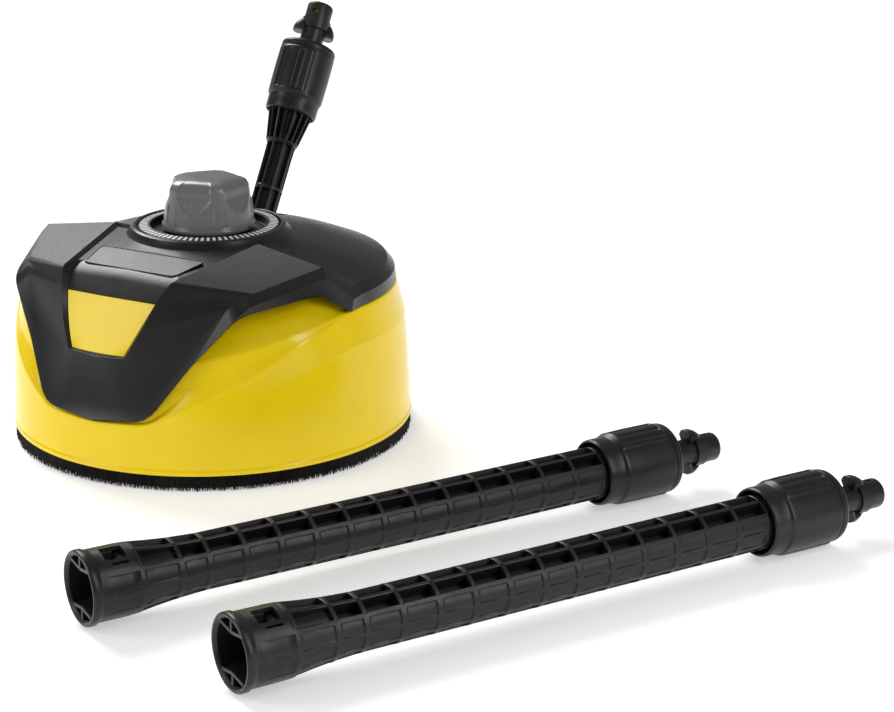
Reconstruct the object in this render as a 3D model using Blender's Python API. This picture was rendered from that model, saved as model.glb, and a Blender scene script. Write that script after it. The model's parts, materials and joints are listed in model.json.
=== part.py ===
"""Patio surface cleaner: a round brush-skirted hood with a height-setting knob, a rotating
spray bar, a short tilting lance and two plug-in extension wands.

Lengths are in millimetres and are scaled to metres when a mesh is made.  The front of the
head faces -Y, +Z is up and the floor is z = 0.  The origin is the middle of the kit's footprint.
"""
import math

import bmesh
import bpy
from mathutils import Matrix, Vector

MM = 0.001
GAP = 0.3                       # clearance left between pieces that touch

# Where the three separate assemblies stand
HEAD_X, HEAD_Y = -181.4, 109.7
WAND_HEADING = math.radians(61.6)
WAND_AXIS_HEIGHT = 25.0
WAND_MOUTHS = ((146.1, -343.2), (275.1, -372.0))    # from the head's axis

# Hood
RIM_RADIUS, RIM_HEIGHT = 146.5, 11.3
HOOD_WALL = 3.0
HOOD_STEPS = 48
HOOD_TOP, HOOD_TOP_WALL = 121.5, 3.0
SPINDLE_HOLE = 9.0
BRISTLE_INNER = 137.0

# Cover and knob
COVER_WALL = 2.4
COLLAR_RADIUS, COLLAR_FOOT = 60.0, 148.0
RING_OUTER, RING_INNER, RING_TOP = 51.6, 42.6, 154.0
KNOB_BASE, KNOB_TOP = 34.0, 187.5
KNOB_SCALLOPS = 5
SCREW_PLACES = ((88.0, 54.0, 147.5), (88.0, 126.0, 138.5))  # radius, angle, top of its boss

# Lance
LEAN = math.radians(31.0)
PIVOT_Y, PIVOT_Z = 61.8, 136.0
LANCE_LENGTH = 180.5
LANCE_LUG_TURN = math.radians(40.0)

# Wands
TUBE_RADIUS, MOUTH_RADIUS, SLEEVE_RADIUS = 17.8, 23.5, 25.0
FIRST_RING, RING_PITCH, RING_COUNT, RING_WIDTH = 79.0, 24.35, 13, 3.4
SLEEVE_START, SLEEVE_LENGTH, WAND_LENGTH = 371.5, 60.0, 474.0
PLUG_ROOT = 44.0                # from the sleeve's open end to the spigot's flange
BORE = 4.5
MOUTH_POCKET_FLOOR = 1.64       # how much further out the pockets by the mouth reach than the others

YELLOW = (0.98, 0.68, 0.010)
BLACK = (0.022, 0.022, 0.024)
GREY = (0.21, 0.21, 0.205)
STEEL = (0.62, 0.63, 0.65)
BRASS = (0.72, 0.52, 0.24)
RUBBER = (0.012, 0.012, 0.012)
NATURAL = (0.72, 0.72, 0.68)


def polar(radius, angle, height):
    """A point at an angle in degrees round from the front (-Y) towards +X."""
    turn = math.radians(angle)
    return (radius * math.sin(turn), -radius * math.cos(turn), height)


def between(a, b, share):
    return tuple(p + (q - p) * share for p, q in zip(a, b))


def screw_places():
    """The four cover screws: the two on the right and their mirror images on the left."""
    return [(radius, side * angle, top) for side in (1, -1) for radius, angle, top in SCREW_PLACES]


def empty(name, at, turn=None):
    holder = bpy.data.objects.new(name, None)
    bpy.context.collection.objects.link(holder)
    holder.matrix_world = Matrix.Translation(Vector(at) * MM) @ (turn or Matrix())
    return holder


def finish(obj, colour, roughness, metallic=0.0):
    material = bpy.data.materials.new(obj.name)
    material.use_nodes = True
    shader = material.node_tree.nodes["Principled BSDF"]
    shader.inputs["Base Color"].default_value = (*colour, 1.0)
    shader.inputs["Roughness"].default_value = roughness
    shader.inputs["Metallic"].default_value = metallic
    material.diffuse_color = (*colour, 1.0)
    obj.data.materials.append(material)


def is_flat(face):
    """Whether a face's corners lie in one plane, to a hundredth of a millimetre."""
    middle = face.calc_center_median()
    face.normal_update()
    return max(abs((v.co - middle).dot(face.normal)) for v in face.verts) < 0.01 * MM


def solid(name, points, faces, parent, look, crease=35.0):
    """An object from points in millimetres, its faces turned outwards."""
    mesh = bpy.data.meshes.new(name)
    work = bmesh.new()
    corners = [work.verts.new(Vector(point) * MM) for point in points]
    for face in faces:
        work.faces.new([corners[i] for i in face])
    twisted = [f for f in work.faces if not is_flat(f)]
    bmesh.ops.triangulate(work, faces=twisted)
    bmesh.ops.recalc_face_normals(work, faces=work.faces)
    work.to_mesh(mesh)
    work.free()
    mesh.shade_smooth()
    mesh.set_sharp_from_angle(angle=math.radians(crease))
    obj = bpy.data.objects.new(name, mesh)
    bpy.context.collection.objects.link(obj)
    obj.parent = parent
    if look:
        finish(obj, *look)
    return obj


def tunnel(name, rings, parent, look):
    """A closed skin through rings of equal length, the last ring joined to the first."""
    count = len(rings[0])
    points = [point for ring in rings for point in ring]
    faces = []
    for k in range(len(rings)):
        here, after = k * count, (k + 1) % len(rings) * count
        for i in range(count):
            j = (i + 1) % count
            faces.append((here + i, here + j, after + j, after + i))
    return solid(name, points, faces, parent, look)


def circle(radius, height, steps):
    return [polar(radius, 360.0 * i / steps, height) for i in range(steps)]


def turned(name, outline, steps, parent, look, shape=None):
    """A turned piece from a closed outline of (radius, height); radius 0 closes on the axis."""
    points, rows = [], []
    for radius, height in outline:
        if radius == 0:
            rows.append([len(points)] * steps)
            points.append((0.0, 0.0, height))
            continue
        rows.append(list(range(len(points), len(points) + steps)))
        for i in range(steps):
            angle = 360.0 * i / steps
            reach = shape(radius, height, angle) if shape else radius
            points.append(polar(reach, angle, height))
    faces = []
    for k, row in enumerate(rows):
        after = rows[(k + 1) % len(rows)]
        if row[0] == row[1] and after[0] == after[1]:
            continue
        for i in range(steps):
            j = (i + 1) % steps
            corners = [row[i], row[j], after[j], after[i]]
            faces.append([c for n, c in enumerate(corners) if c not in corners[:n]])
    return solid(name, points, faces, parent, look)


def pipe(name, outer, inner, low, high, steps, parent, look):
    return turned(name, [(outer, high), (outer, low), (inner, low), (inner, high)], steps, parent, look)


def rod(name, radius, low, high, steps, parent, look):
    return turned(name, [(0, high), (radius, high), (radius, low), (0, low)], steps, parent, look)


def box(name, low, high, parent, look=None):
    x0, y0, z0 = low
    x1, y1, z1 = high
    points = [(x, y, z) for x in (x0, x1) for y in (y0, y1) for z in (z0, z1)]
    faces = [(0, 1, 3, 2), (4, 6, 7, 5), (0, 4, 5, 1), (2, 3, 7, 6), (0, 2, 6, 4), (1, 5, 7, 3)]
    return solid(name, points, faces, parent, look)


def prism(name, base, top, parent, look=None):
    """A solid between two outlines with the same number of corners."""
    count = len(base)
    faces = [tuple(range(count)), tuple(range(count, 2 * count))]
    faces += [(i, (i + 1) % count, count + (i + 1) % count, count + i) for i in range(count)]
    return solid(name, list(base) + list(top), faces, parent, look)


def lay(obj, at, axis="Z"):
    """Moves a piece made about +Z so that its own +Z lies along an axis, from a point."""
    turn = {"Z": Matrix(), "X": Matrix.Rotation(math.pi / 2, 4, "Y"),
            "Y": Matrix.Rotation(-math.pi / 2, 4, "X")}[axis]
    obj.matrix_local = Matrix.Translation(Vector(at) * MM) @ turn
    return obj


def combine(obj, other, operation):
    """A Boolean whose second shape is kept as a hidden helper."""
    other.hide_render = True
    other.display_type = "WIRE"
    step = obj.modifiers.new(other.name, "BOOLEAN")
    step.operation = operation
    step.object = other


def cut(obj, cutter):
    combine(obj, cutter, "DIFFERENCE")


# ---------------------------------------------------------------- hood

# (radius, height) down the outside of the hood at some angles from the front.  The fourth row is
# the upper crease and the sixth the lower crease, which both run out to the cover's wing tips.
HOOD_PROFILES = {
    0.0: [(104, 121.5), (112, 118.5), (126.0, 102), (134.0, 86), (141.0, 45.0), (144.9, 44.4)],
    17.5: [(106, 121.5), (114, 118.5), (126.0, 102), (133.8, 86), (140.4, 47.3), (144.7, 46.5)],
    23.0: [(108, 121.5), (116, 118.5), (126.0, 102), (133.6, 86), (137.9, 63.5), (144.6, 53.4)],
    30.0: [(110, 121.5), (118, 118.5), (127.5, 102), (134.6, 88.5), (138.6, 75.0), (144.0, 61.0)],
    43.0: [(112, 121.5), (120, 118.5), (130.5, 106.5), (137.6, 96.0), (140.4, 86.0), (143.0, 75.5)],
    60.0: [(115, 121.5), (122, 118.5), (132.5, 111.5), (138.0, 104.5), (139.2, 101.0), (140.6, 97.5)],
    79.0: [(119, 121.5), (124, 118.5), (131.4, 112.2), (135.4, 111.9), (136.1, 111.5), (136.6, 110.9)],
    180.0: [(119, 121.5), (124, 118.5), (131.4, 112.2), (135.2, 111.9), (136.0, 111.5), (136.5, 110.9)],
}


def wall_radius(height):
    """The plain wall of the hood: nearly upright, rounding over towards the top."""
    return RIM_RADIUS - 0.043 * (height - RIM_HEIGHT) - 6.0 * max((height - 75.0) / 37.0, 0.0) ** 2


def hood_profile(angle):
    """The outside of the hood at any angle, blended between the profiles on either side."""
    stops = sorted(HOOD_PROFILES)
    after = next(stop for stop in stops if stop >= angle)
    before = stops[max(stops.index(after) - 1, 0)]
    share = (angle - before) / (after - before) if after > before else 0.0
    rows = [between(a, b, share) for a, b in zip(HOOD_PROFILES[before], HOOD_PROFILES[after])]
    low = rows[-1][1]
    height = RIM_HEIGHT + (low - RIM_HEIGHT) * 0.55
    rows.append((wall_radius(height), height))
    return rows + [(RIM_RADIUS, RIM_HEIGHT)]


def hood_shell(head):
    steps = HOOD_STEPS
    angles = [360.0 * i / steps for i in range(steps)]
    profiles = [hood_profile(min(a, 360.0 - a)) for a in angles]
    rings = []
    for k in range(len(profiles[0])):
        rings.append([polar(p[k][0], a, p[k][1]) for a, p in zip(angles, profiles)])
    for k in (7, 5, 3, 1):
        rings.append([polar(p[k][0] - HOOD_WALL, a, p[k][1]) for a, p in zip(angles, profiles)])
    rings.append(circle(98.0, HOOD_TOP - HOOD_TOP_WALL, steps))
    rings.append(circle(SPINDLE_HOLE, HOOD_TOP - HOOD_TOP_WALL, steps))
    rings.append(circle(SPINDLE_HOLE, HOOD_TOP, steps))
    hood = tunnel("hood_shell", rings, head, (YELLOW, 0.32))
    feed_hole = rod("feed_hole_cutter", 9.0, HOOD_TOP - 8, HOOD_TOP + 8, 16, head, None)
    lay(feed_hole, (0, PIVOT_Y, 0)).rotation_euler.z = math.radians(7.0)
    cut(hood, feed_hole)
    for number, (radius, angle, _) in enumerate(screw_places(), start=1):
        hole = rod(f"screw_hole_cutter_{number}", 2.25, HOOD_TOP - 8, HOOD_TOP + 8, 11, head, None)
        cut(hood, lay(hole, polar(radius, angle, 0)))
    return hood


def brush(head):
    pipe("brush_carrier", 141.3, 131.0, 11.3, 16.5, HOOD_STEPS, head, (BLACK, 0.6))
    pipe("bristle_ring", 146.2, BRISTLE_INNER, 0.0, 11.0, HOOD_STEPS, head, (RUBBER, 0.95))


# ---------------------------------------------------------------- cover

def rounded(corners, reach):
    """Points with each inner corner of a line replaced by three points of a curve round it."""
    line = [corners[0]]
    for before, corner, after in zip(corners, corners[1:], corners[2:]):
        size = reach.get(corner)
        if not size:
            line.append(corner)
            continue
        start = Vector(corner) + (Vector(before) - Vector(corner)).normalized() * size
        stop = Vector(corner) + (Vector(after) - Vector(corner)).normalized() * size
        middle = start * 0.25 + Vector(corner) * 0.5 + stop * 0.25
        line += [tuple(start), tuple(middle), tuple(stop)]
    return line + [corners[-1]]


BIB = {                                    # the raised V-shaped bib, right-hand half
    "face": [(0, -143.5, 56), (36, -139, 58), (64, -120, 96), (90.5, -98, 131.5),
             (96, -88, 134.5), (121, -35, 145.0), (131, -15, 127.2)],
    "edge": [(0, -148, 47), (44, -141, 49.5), (69.5, -122, 88), (97, -104, 123.5),
             (101.5, -93, 128.5), (126, -38, 138.5), (137.5, -21, 120.5)],
    "lip": [(0, -144.8, 45.2), (42.5, -138.2, 48), (67.5, -120.5, 86.5), (95, -102.5, 120.5),
            (99.5, -92, 122.5), (123, -43, 127), (138, -24.5, 112.8)],
}
WING_ARC = [83.0, 95.0, 108.0, 121.0, 134.0, 147.0, 158.0, 169.0, 180.0]
CHANNEL = {                                # the sunk middle between the arms, right-hand half
    "plate_front": (46, -98, 143.4), "inlay_top": (38.4, -117, 127.5),
    "inlay_mid": (31.5, -126.8, 109.0), "inlay_low": (24.0, -133.8, 90.3),
    "arm_fold": (51.3, -102, 147.6), "arm_top": (41.2, -119.5, 129.8),
    "arm_mid": (34.2, -129.3, 109.3), "arm_low": (26.6, -136.6, 88.4),
    "arm_rear": (63, -29, 152.0), "wall_rear": (59.5, -29.5, 147.6),
}
CENTRE = {"plate_front": (0, -98, 144.2), "inlay_top": (0, -117.7, 127.5),
          "inlay_mid": (0, -128.0, 109.0), "inlay_low": (0, -135.6, 89.4), "arm_low": (0, -139.2, 86.4)}


def wing_rim(radius, height):
    """The cover's edge behind the wing tips."""
    return [polar(radius, a, height) for a in WING_ARC[1:]]


def cover_skin():
    """Points and faces of the cover's outer surface, +X half, from the collar to the lip."""
    points, index = [], {}

    def at(point):
        key = tuple(round(value, 4) for value in point)
        if key not in index:
            index[key] = len(points)
            points.append(key)
        return index[key]

    faces = []

    def face(*corners):
        ids = [at(corner) for corner in corners]
        ids = [i for n, i in enumerate(ids) if i != ids[n - 1]]
        if len(ids) > 2:
            faces.append(ids)

    # the collar: stacked rings of points, from the middle out to its foot
    collar_angles = [0.0, 21.0, 42.0, 63.6, 74.0] + WING_ARC
    stack = [(0, 149.0), (41.8, 149.0), (41.8, 151.2), (52.4, 151.2), (56.0, 152.8),
             (COLLAR_RADIUS, COLLAR_FOOT)]
    levels = [[polar(radius, a, height) for a in collar_angles] for radius, height in stack]
    for inner, outer in zip(levels, levels[1:]):
        for i in range(len(collar_angles) - 1):
            face(inner[i], inner[i + 1], outer[i + 1], outer[i])
    foot = levels[-1]

    # the sunk channel with the sloping front and the window for the yellow inlay
    c, m = CHANNEL, CENTRE
    face(foot[0], foot[1], c["plate_front"], m["plate_front"])
    face(foot[1], foot[2], c["plate_front"])
    face(foot[2], foot[3], c["wall_rear"], c["plate_front"])
    face(m["plate_front"], c["plate_front"], c["inlay_top"], m["inlay_top"])
    face(m["inlay_top"], c["inlay_top"], c["inlay_mid"], m["inlay_mid"])
    face(m["inlay_mid"], c["inlay_mid"], c["inlay_low"], m["inlay_low"])
    face(c["wall_rear"], c["arm_rear"], c["arm_fold"], c["plate_front"])
    face(c["plate_front"], c["arm_fold"], c["arm_top"], c["inlay_top"])
    face(c["inlay_top"], c["arm_top"], c["arm_mid"], c["inlay_mid"])
    face(c["inlay_mid"], c["arm_mid"], c["arm_low"], c["inlay_low"])
    face(m["inlay_low"], c["inlay_low"], c["arm_low"], m["arm_low"])

    # the bib and the arm, its chamfer and its lip
    reach = {1: 12.0, 3: 7.0}
    lines = []
    for name in ("face", "edge", "lip"):
        corners = BIB[name]
        lines.append(rounded(corners, {corners[k]: size for k, size in reach.items()}))
    top, edge, lip = lines
    for outer, lower in ((top, edge), (edge, lip)):
        for i in range(len(outer) - 1):
            face(outer[i], outer[i + 1], lower[i + 1], lower[i])
    front, corner, side, shoulder, arm, shoulder_end, fold, peak, tip = (
        top[0], top[1], top[2], top[3], top[4], top[5], top[8], top[9], top[10])
    face(m["arm_low"], c["arm_low"], corner, front)
    face(c["arm_low"], side, corner)
    face(c["arm_low"], shoulder, side)
    face(c["arm_low"], c["arm_mid"], arm, shoulder)
    face(c["arm_mid"], c["arm_top"], shoulder_end, arm)
    face(c["arm_top"], top[6], shoulder_end)
    face(c["arm_top"], top[7], top[6])
    face(c["arm_top"], c["arm_fold"], fold, top[7])
    face(c["arm_fold"], c["arm_rear"], peak, fold)

    # behind the arm: the drop to the wing, then the wing itself
    face(c["arm_rear"], foot[4], tip, peak)
    face(foot[3], foot[4], c["arm_rear"])
    face(foot[3], c["arm_rear"], c["wall_rear"])
    rims = [[tip] + wing_rim(129.8, 127.0), [edge[-1]] + wing_rim(135.2, 120.5),
            [lip[-1]] + wing_rim(136.2, 112.8)]
    face(foot[4], foot[5], tip)
    for inner, outer in zip([foot[5:]] + rims, rims):
        for i in range(len(rims[0]) - 1):
            face(inner[i], inner[i + 1], outer[i + 1], outer[i])
    return points, faces, lip + rims[2][1:]


def cover_solid(name, parent, look, shrink=0.0, drop=None):
    """The cover's outer surface closed underneath.  Shrunk and dropped, it hollows the cover."""
    half, faces, border = cover_skin()
    work = bmesh.new()
    right = [work.verts.new(point) for point in half]
    left = [work.verts.new((-x, y, z)) for x, y, z in half]
    for ids in faces:
        work.faces.new([right[i] for i in ids])
        work.faces.new([left[i] for i in reversed(ids)])
    bmesh.ops.remove_doubles(work, verts=work.verts, dist=0.01)
    bmesh.ops.recalc_face_normals(work, faces=work.faces)
    if sum(f.normal.z * f.calc_area() for f in work.faces) < 0:
        bmesh.ops.reverse_faces(work, faces=work.faces)
    if shrink:
        work.normal_update()
        moves = {v: v.normal * v.calc_shell_factor() * -shrink for v in work.verts}
        for v, move in moves.items():
            v.co += move if move.length < 2.2 * shrink else move.normalized() * 2.2 * shrink
    edges = [e for e in work.edges if len(e.link_faces) == 1]
    if drop:
        skirt = bmesh.ops.extrude_edge_only(work, edges=edges)["geom"]
        fresh = [g for g in skirt if isinstance(g, bmesh.types.BMVert)]
        for v in fresh:
            v.co.z -= drop
        edges = [g for g in skirt if isinstance(g, bmesh.types.BMEdge) and len(g.link_faces) == 1]
    floor = work.verts.new((0, 0, 100.0 - (drop or 0) * 2.5))
    for e in edges:
        work.faces.new((*e.verts, floor))
    bmesh.ops.recalc_face_normals(work, faces=work.faces)
    points = [tuple(v.co) for v in work.verts]
    work.verts.index_update()
    skin = [[v.index for v in f.verts] for f in work.faces]
    work.free()
    return solid(name, points, skin, parent, look)


def plate_outline(grow, lift):
    """The name plate's four corners, in the plane of the sunk channel."""
    rear, front = (47.4, -67.4, 148.9), (40.1, -97.4, 144.5)
    x0, y0, z0 = rear
    x1, y1, z1 = front
    slope = (z0 - z1) / (y0 - y1)
    y0, y1 = y0 + grow, y1 - grow
    z0, z1 = z0 + grow * slope + lift, z1 - grow * slope + lift
    return [(-x0 - grow, y0, z0), (x0 + grow, y0, z0), (x1 + grow, y1, z1), (-x1 - grow, y1, z1)]


def inlay_outline(inset, lift):
    """The inlay's outline as three rows, each a pair of corners, moved out along its slope."""
    rows = []
    for name in ("inlay_top", "inlay_mid", "inlay_low"):
        side, middle = CHANNEL[name], CENTRE[name]
        rows.append([(-side[0] + inset, side[1]), (0, middle[1]), (side[0] - inset, side[1]), side[2]])
    rows[0][3] -= inset
    rows[2][3] += inset
    slope = (0.0, -0.83 * lift, 0.55 * lift)
    return [[(x, y + slope[1], row[3] + slope[2]) for x, y in row[:3]] for row in rows]


def inlay_solid(name, inset, low, high, parent, look=None):
    """A curved panel that fills the window between the arms."""
    back = [p for row in inlay_outline(inset, low) for p in row]
    fore = [p for row in inlay_outline(inset, high) for p in row]
    faces = []
    for r in range(2):
        for k in range(2):
            a = 3 * r + k
            faces.append((a, a + 1, a + 4, a + 3))
            faces.append((a + 9, a + 10, a + 13, a + 12))
    rim = [0, 1, 2, 5, 8, 7, 6, 3]
    for a, b in zip(rim, rim[1:] + rim[:1]):
        faces.append((a, b, b + 9, a + 9))
    return solid(name, back + fore, faces, parent, look)


def cover(head):
    shell = cover_solid("top_cover", head, (BLACK, 0.42))
    cut(shell, cover_solid("cover_hollow_cutter", head, None, shrink=COVER_WALL, drop=26.0))
    cut(shell, rod("cover_spindle_cutter", SPINDLE_HOLE, 130, 160, 24, head, None))
    slot_low = (-14.2, PIVOT_Y - 9.0, 120.0)
    cut(shell, box("lance_slot_cutter", slot_low, (14.2, PIVOT_Y + 44.0, 165.0), head))
    cut(shell, inlay_solid("inlay_window_cutter", 0.0, -9.0, 6.0, head))
    for number, (radius, angle, top) in enumerate(screw_places(), start=1):
        boss = rod(f"screw_boss_helper_{number}", 4.5, HOOD_TOP + GAP, top, 10, head, None)
        combine(shell, lay(boss, polar(radius, angle, 0)), "UNION")
        bore = rod(f"screw_bore_cutter_{number}", 1.9, HOOD_TOP - 3, top - 4.0, 10, head, None)
        cut(shell, lay(bore, polar(radius, angle, 0)))
    cut(shell, prism("plate_seat_cutter", plate_outline(GAP, -0.9), plate_outline(GAP, 6.0), head))
    prism("name_plate", plate_outline(0, -0.6), plate_outline(0, 0.9), head, (BLACK, 0.35))
    inlay_solid("front_inlay", GAP, -2.2, -0.4, head, (YELLOW, 0.3))


def scale_ring(head):
    outline = [(RING_INNER, RING_TOP), (RING_OUTER - 1.0, RING_TOP - 0.6), (RING_OUTER, RING_TOP - 1.4),
               (RING_OUTER, 151.5), (RING_INNER, 151.5)]
    turned("scale_ring", outline, HOOD_STEPS, head, (BLACK, 0.5))


def screws(head):
    """Four screws that hold the cover down, driven up through the hood's top plate."""
    for number, (radius, angle, _) in enumerate(screw_places(), start=1):
        outline = [(0, 132.0), (1.6, 132.0), (1.6, 118.2), (4.0, 118.2), (4.0, 115.4), (0, 115.4)]
        screw = turned(f"cover_screw_{number}", outline, 12, head, (STEEL, 0.35, 1.0))
        lay(screw, polar(radius, angle, 0))


# ---------------------------------------------------------------- knob and lift

def knob_shape(radius, height, angle):
    """Finger scallops that deepen towards the top of the grip."""
    if radius < 20 or height < 157.5:
        return radius
    wave = math.cos(math.radians(angle + 6.0) * KNOB_SCALLOPS)
    depth = 4.2 * min((height - 155.0) / 18.0, 1.0)
    return radius - depth * max(wave, 0.0) ** 1.3


def knob(head, turner):
    outline = [(0, KNOB_TOP), (14.0, KNOB_TOP - 0.4), (23.5, KNOB_TOP - 2.0), (27.5, KNOB_TOP - 6.5),
               (31.0, 171.0), (33.2, 157.0), (KNOB_BASE, 154.4), (KNOB_BASE, 152.0),
               (30.0, 152.0), (24.0, 182.0), (11.0, 182.0), (11.0, 154.0), (0, 154.0)]
    turned("adjusting_knob", outline, 40, turner, (GREY, 0.42), knob_shape)
    rod("lift_spindle", 7.4, 97.0, 153.7, 20, turner, (STEEL, 0.3, 1.0))


def carriage_group(head, slide):
    """The nut plate that climbs the spindle, with the rotor's housing and bearings below it."""
    plate = pipe("carriage_plate", 16.0, 7.7, 88.0, 104.0, 20, slide, (NATURAL, 0.45))
    ears = box("carriage_ear_helper", (-44, -6, 88.0), (44, 6, 94.0), slide)
    cut(ears, rod("carriage_ear_bore_cutter", 12.0, 80, 110, 20, slide, None))
    combine(plate, ears, "UNION")
    for side in (-1, 1):
        bore = rod(f"guide_bore_cutter_{side + 1}", 3.3, 80, 110, 12, slide, None)
        cut(plate, lay(bore, (38.0 * side, 0, 0)))
        pin = rod("guide_pin_right" if side > 0 else "guide_pin_left", 3.0, 62.0, 118.2, 12, head,
                  (STEEL, 0.25, 1.0))
        lay(pin, (38.0 * side, 0, 0))
    housing = turned("swivel_housing", [(0, 84.0), (20.0, 84.0), (20.0, 46.0), (14.0, 46.0), (14.0, 79.5),
                                        (0, 79.5)], 24, slide, (BRASS, 0.3, 1.0))
    port = lay(rod("inlet_port_helper", 6.5, 0.0, PIVOT_Y - 22.0, 14, slide, None), (0, 16.0, 70.0), "Y")
    combine(housing, port, "UNION")
    bore = lay(rod("inlet_bore_cutter", 3.0, 0.0, PIVOT_Y, 12, slide, None), (0, 8.0, 70.0), "Y")
    cut(housing, bore)
    for name, low in (("upper_bearing", 71.5), ("lower_bearing", 47.0)):
        pipe(name, 13.7, 5.3, low, low + 7.0, 20, slide, (STEEL, 0.25, 1.0))
    pipe("shaft_seal", 13.7, 5.3, 56.0, 60.0, 20, slide, (RUBBER, 0.7))
    sleeve = turned("feed_sleeve", [(8.5, 104.0), (8.5, 60.0), (0, 60.0), (0, 66.0), (5.5, 66.0),
                                    (5.5, 104.0)], 18, slide, (BRASS, 0.3, 1.0))
    lay(sleeve, (0, PIVOT_Y, 0))
    side_port = lay(rod("feed_port_cutter", 3.0, -12.0, 0.0, 12, slide, None), (0, PIVOT_Y, 70.0), "Y")
    cut(sleeve, side_port)
    seat = lay(rod("feed_seat_cutter", 6.8, -10.0, 0.0, 14, slide, None), (0, PIVOT_Y - 5.7, 70.0), "Y")
    cut(sleeve, seat)
    lay(pipe("feed_seal", 8.5, 5.3, 104.3, 106.5, 18, slide, (RUBBER, 0.7)), (0, PIVOT_Y, 0))
    lay(pipe("feed_tube", 5.0, 2.8, 80.0, 123.7, 16, head, (STEEL, 0.25, 1.0)), (0, PIVOT_Y, 0))


def rotor(spin):
    """The hollow shaft and the two-armed spray bar that the water jets drive round."""
    pipe("rotor_shaft", 5.0, 2.4, 27.0, 79.0, 16, spin, (STEEL, 0.2, 1.0))
    bar = turned("spray_bar", [(12.0, 42.0), (12.0, 28.0), (5.3, 28.0), (5.3, 42.0)], 20, spin,
                 (STEEL, 0.25, 1.0))
    arms = box("spray_arm_helper", (-114, -5.5, 30.0), (114, 5.5, 39.0), spin)
    cut(arms, rod("spray_arm_bore_cutter", 8.0, 20, 50, 16, spin, None))
    combine(bar, arms, "UNION")
    pipe("hub_nut", 9.6, 6.1, 21.0, 27.7, 6, spin, (STEEL, 0.3, 1.0))
    for side, name in ((-1, "jet_nozzle_left"), (1, "jet_nozzle_right")):
        outline = [(5.2, 29.7), (5.2, 24.0), (2.6, 17.5), (0.9, 17.5), (0.9, 29.7)]
        lay(turned(name, outline, 12, spin, (BRASS, 0.25, 1.0)), (104.0 * side, 0, 0))


# ---------------------------------------------------------------- lattice tubes

RIB_ANGLES = [-37, 0, 37, 52, 68, 84, 96, 112, 128, 143, 180, 217, 232, 248, 264, 276, 292, 308]
POCKET_CORNERS = {3: (9.5, 37), 4: (9.4, 79), 7: (9.4, 101), 8: (9.5, 143),
                  12: (9.5, 217), 13: (9.4, 259), 16: (9.4, 281), 17: (9.5, 323)}


def section(radius, height, open_pockets=False, floor=1.0):
    """One cross-section of a ribbed tube: local +X is up, +Y is to the right of its axis."""
    ring = []
    for i, angle in enumerate(RIB_ANGLES):
        reach = radius
        if open_pockets and i in POCKET_CORNERS:
            reach, angle = POCKET_CORNERS[i]
            reach *= floor
        turn = math.radians(angle)
        ring.append((reach * math.sin(turn), reach * math.cos(turn), height))
    return ring


def bore_sections(stations):
    return [section(radius, height) for radius, height in stations]


def ribbed_tube(name, stations, bores, parent, look):
    """stations: (radius, height, floor or None) in order; a floor opens the pockets there."""
    rings = [section(r, h, floor is not None, floor or 1.0) for r, h, floor in stations]
    return tunnel(name, rings + bore_sections(bores), parent, look)


def turned_sleeve(name, outer, length, hole, parent, look):
    """A locking sleeve: open below, with a narrower collar there, a barrel and a closed end."""
    outline = [(hole, length), (outer - 3.6, length), (outer - 1.4, length - 3.0), (outer, length * 0.5),
               (outer - 0.4, length * 0.25), (outer - 2.4, length * 0.2), (outer - 2.4, 1.0),
               (outer - 3.2, 0.0), (outer - 4.4, 0.0), (outer - 4.4, length - 6.5), (hole, length - 4.0)]
    return turned(name, outline, 20, parent, look)


def spigot(name, start, tip, lug_turn, parent, look):
    """The male bayonet: a hollow plug with a locking band and two lugs, lug_turn from local X."""
    outline = [(10.0, tip), (10.0, tip - 13.0), (10.8, tip - 13.4), (10.8, tip - 19.6), (9.8, tip - 20.4),
               (9.8, start + 5), (13.0, start + 5), (13.0, start), (BORE, start), (BORE, tip - 15),
               (6.6, tip - 15), (6.6, tip)]
    plug = turned(name, outline, 16, parent, look)
    for side in (0, 1):
        lug = box(f"{name}_lug_helper_{side}", (7.5, -5.0, tip - 25.0), (16.0, 5.0, tip - 14.2), parent)
        lug.rotation_euler.z = lug_turn + math.pi * side
        combine(plug, lug, "UNION")
    return plug


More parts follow.
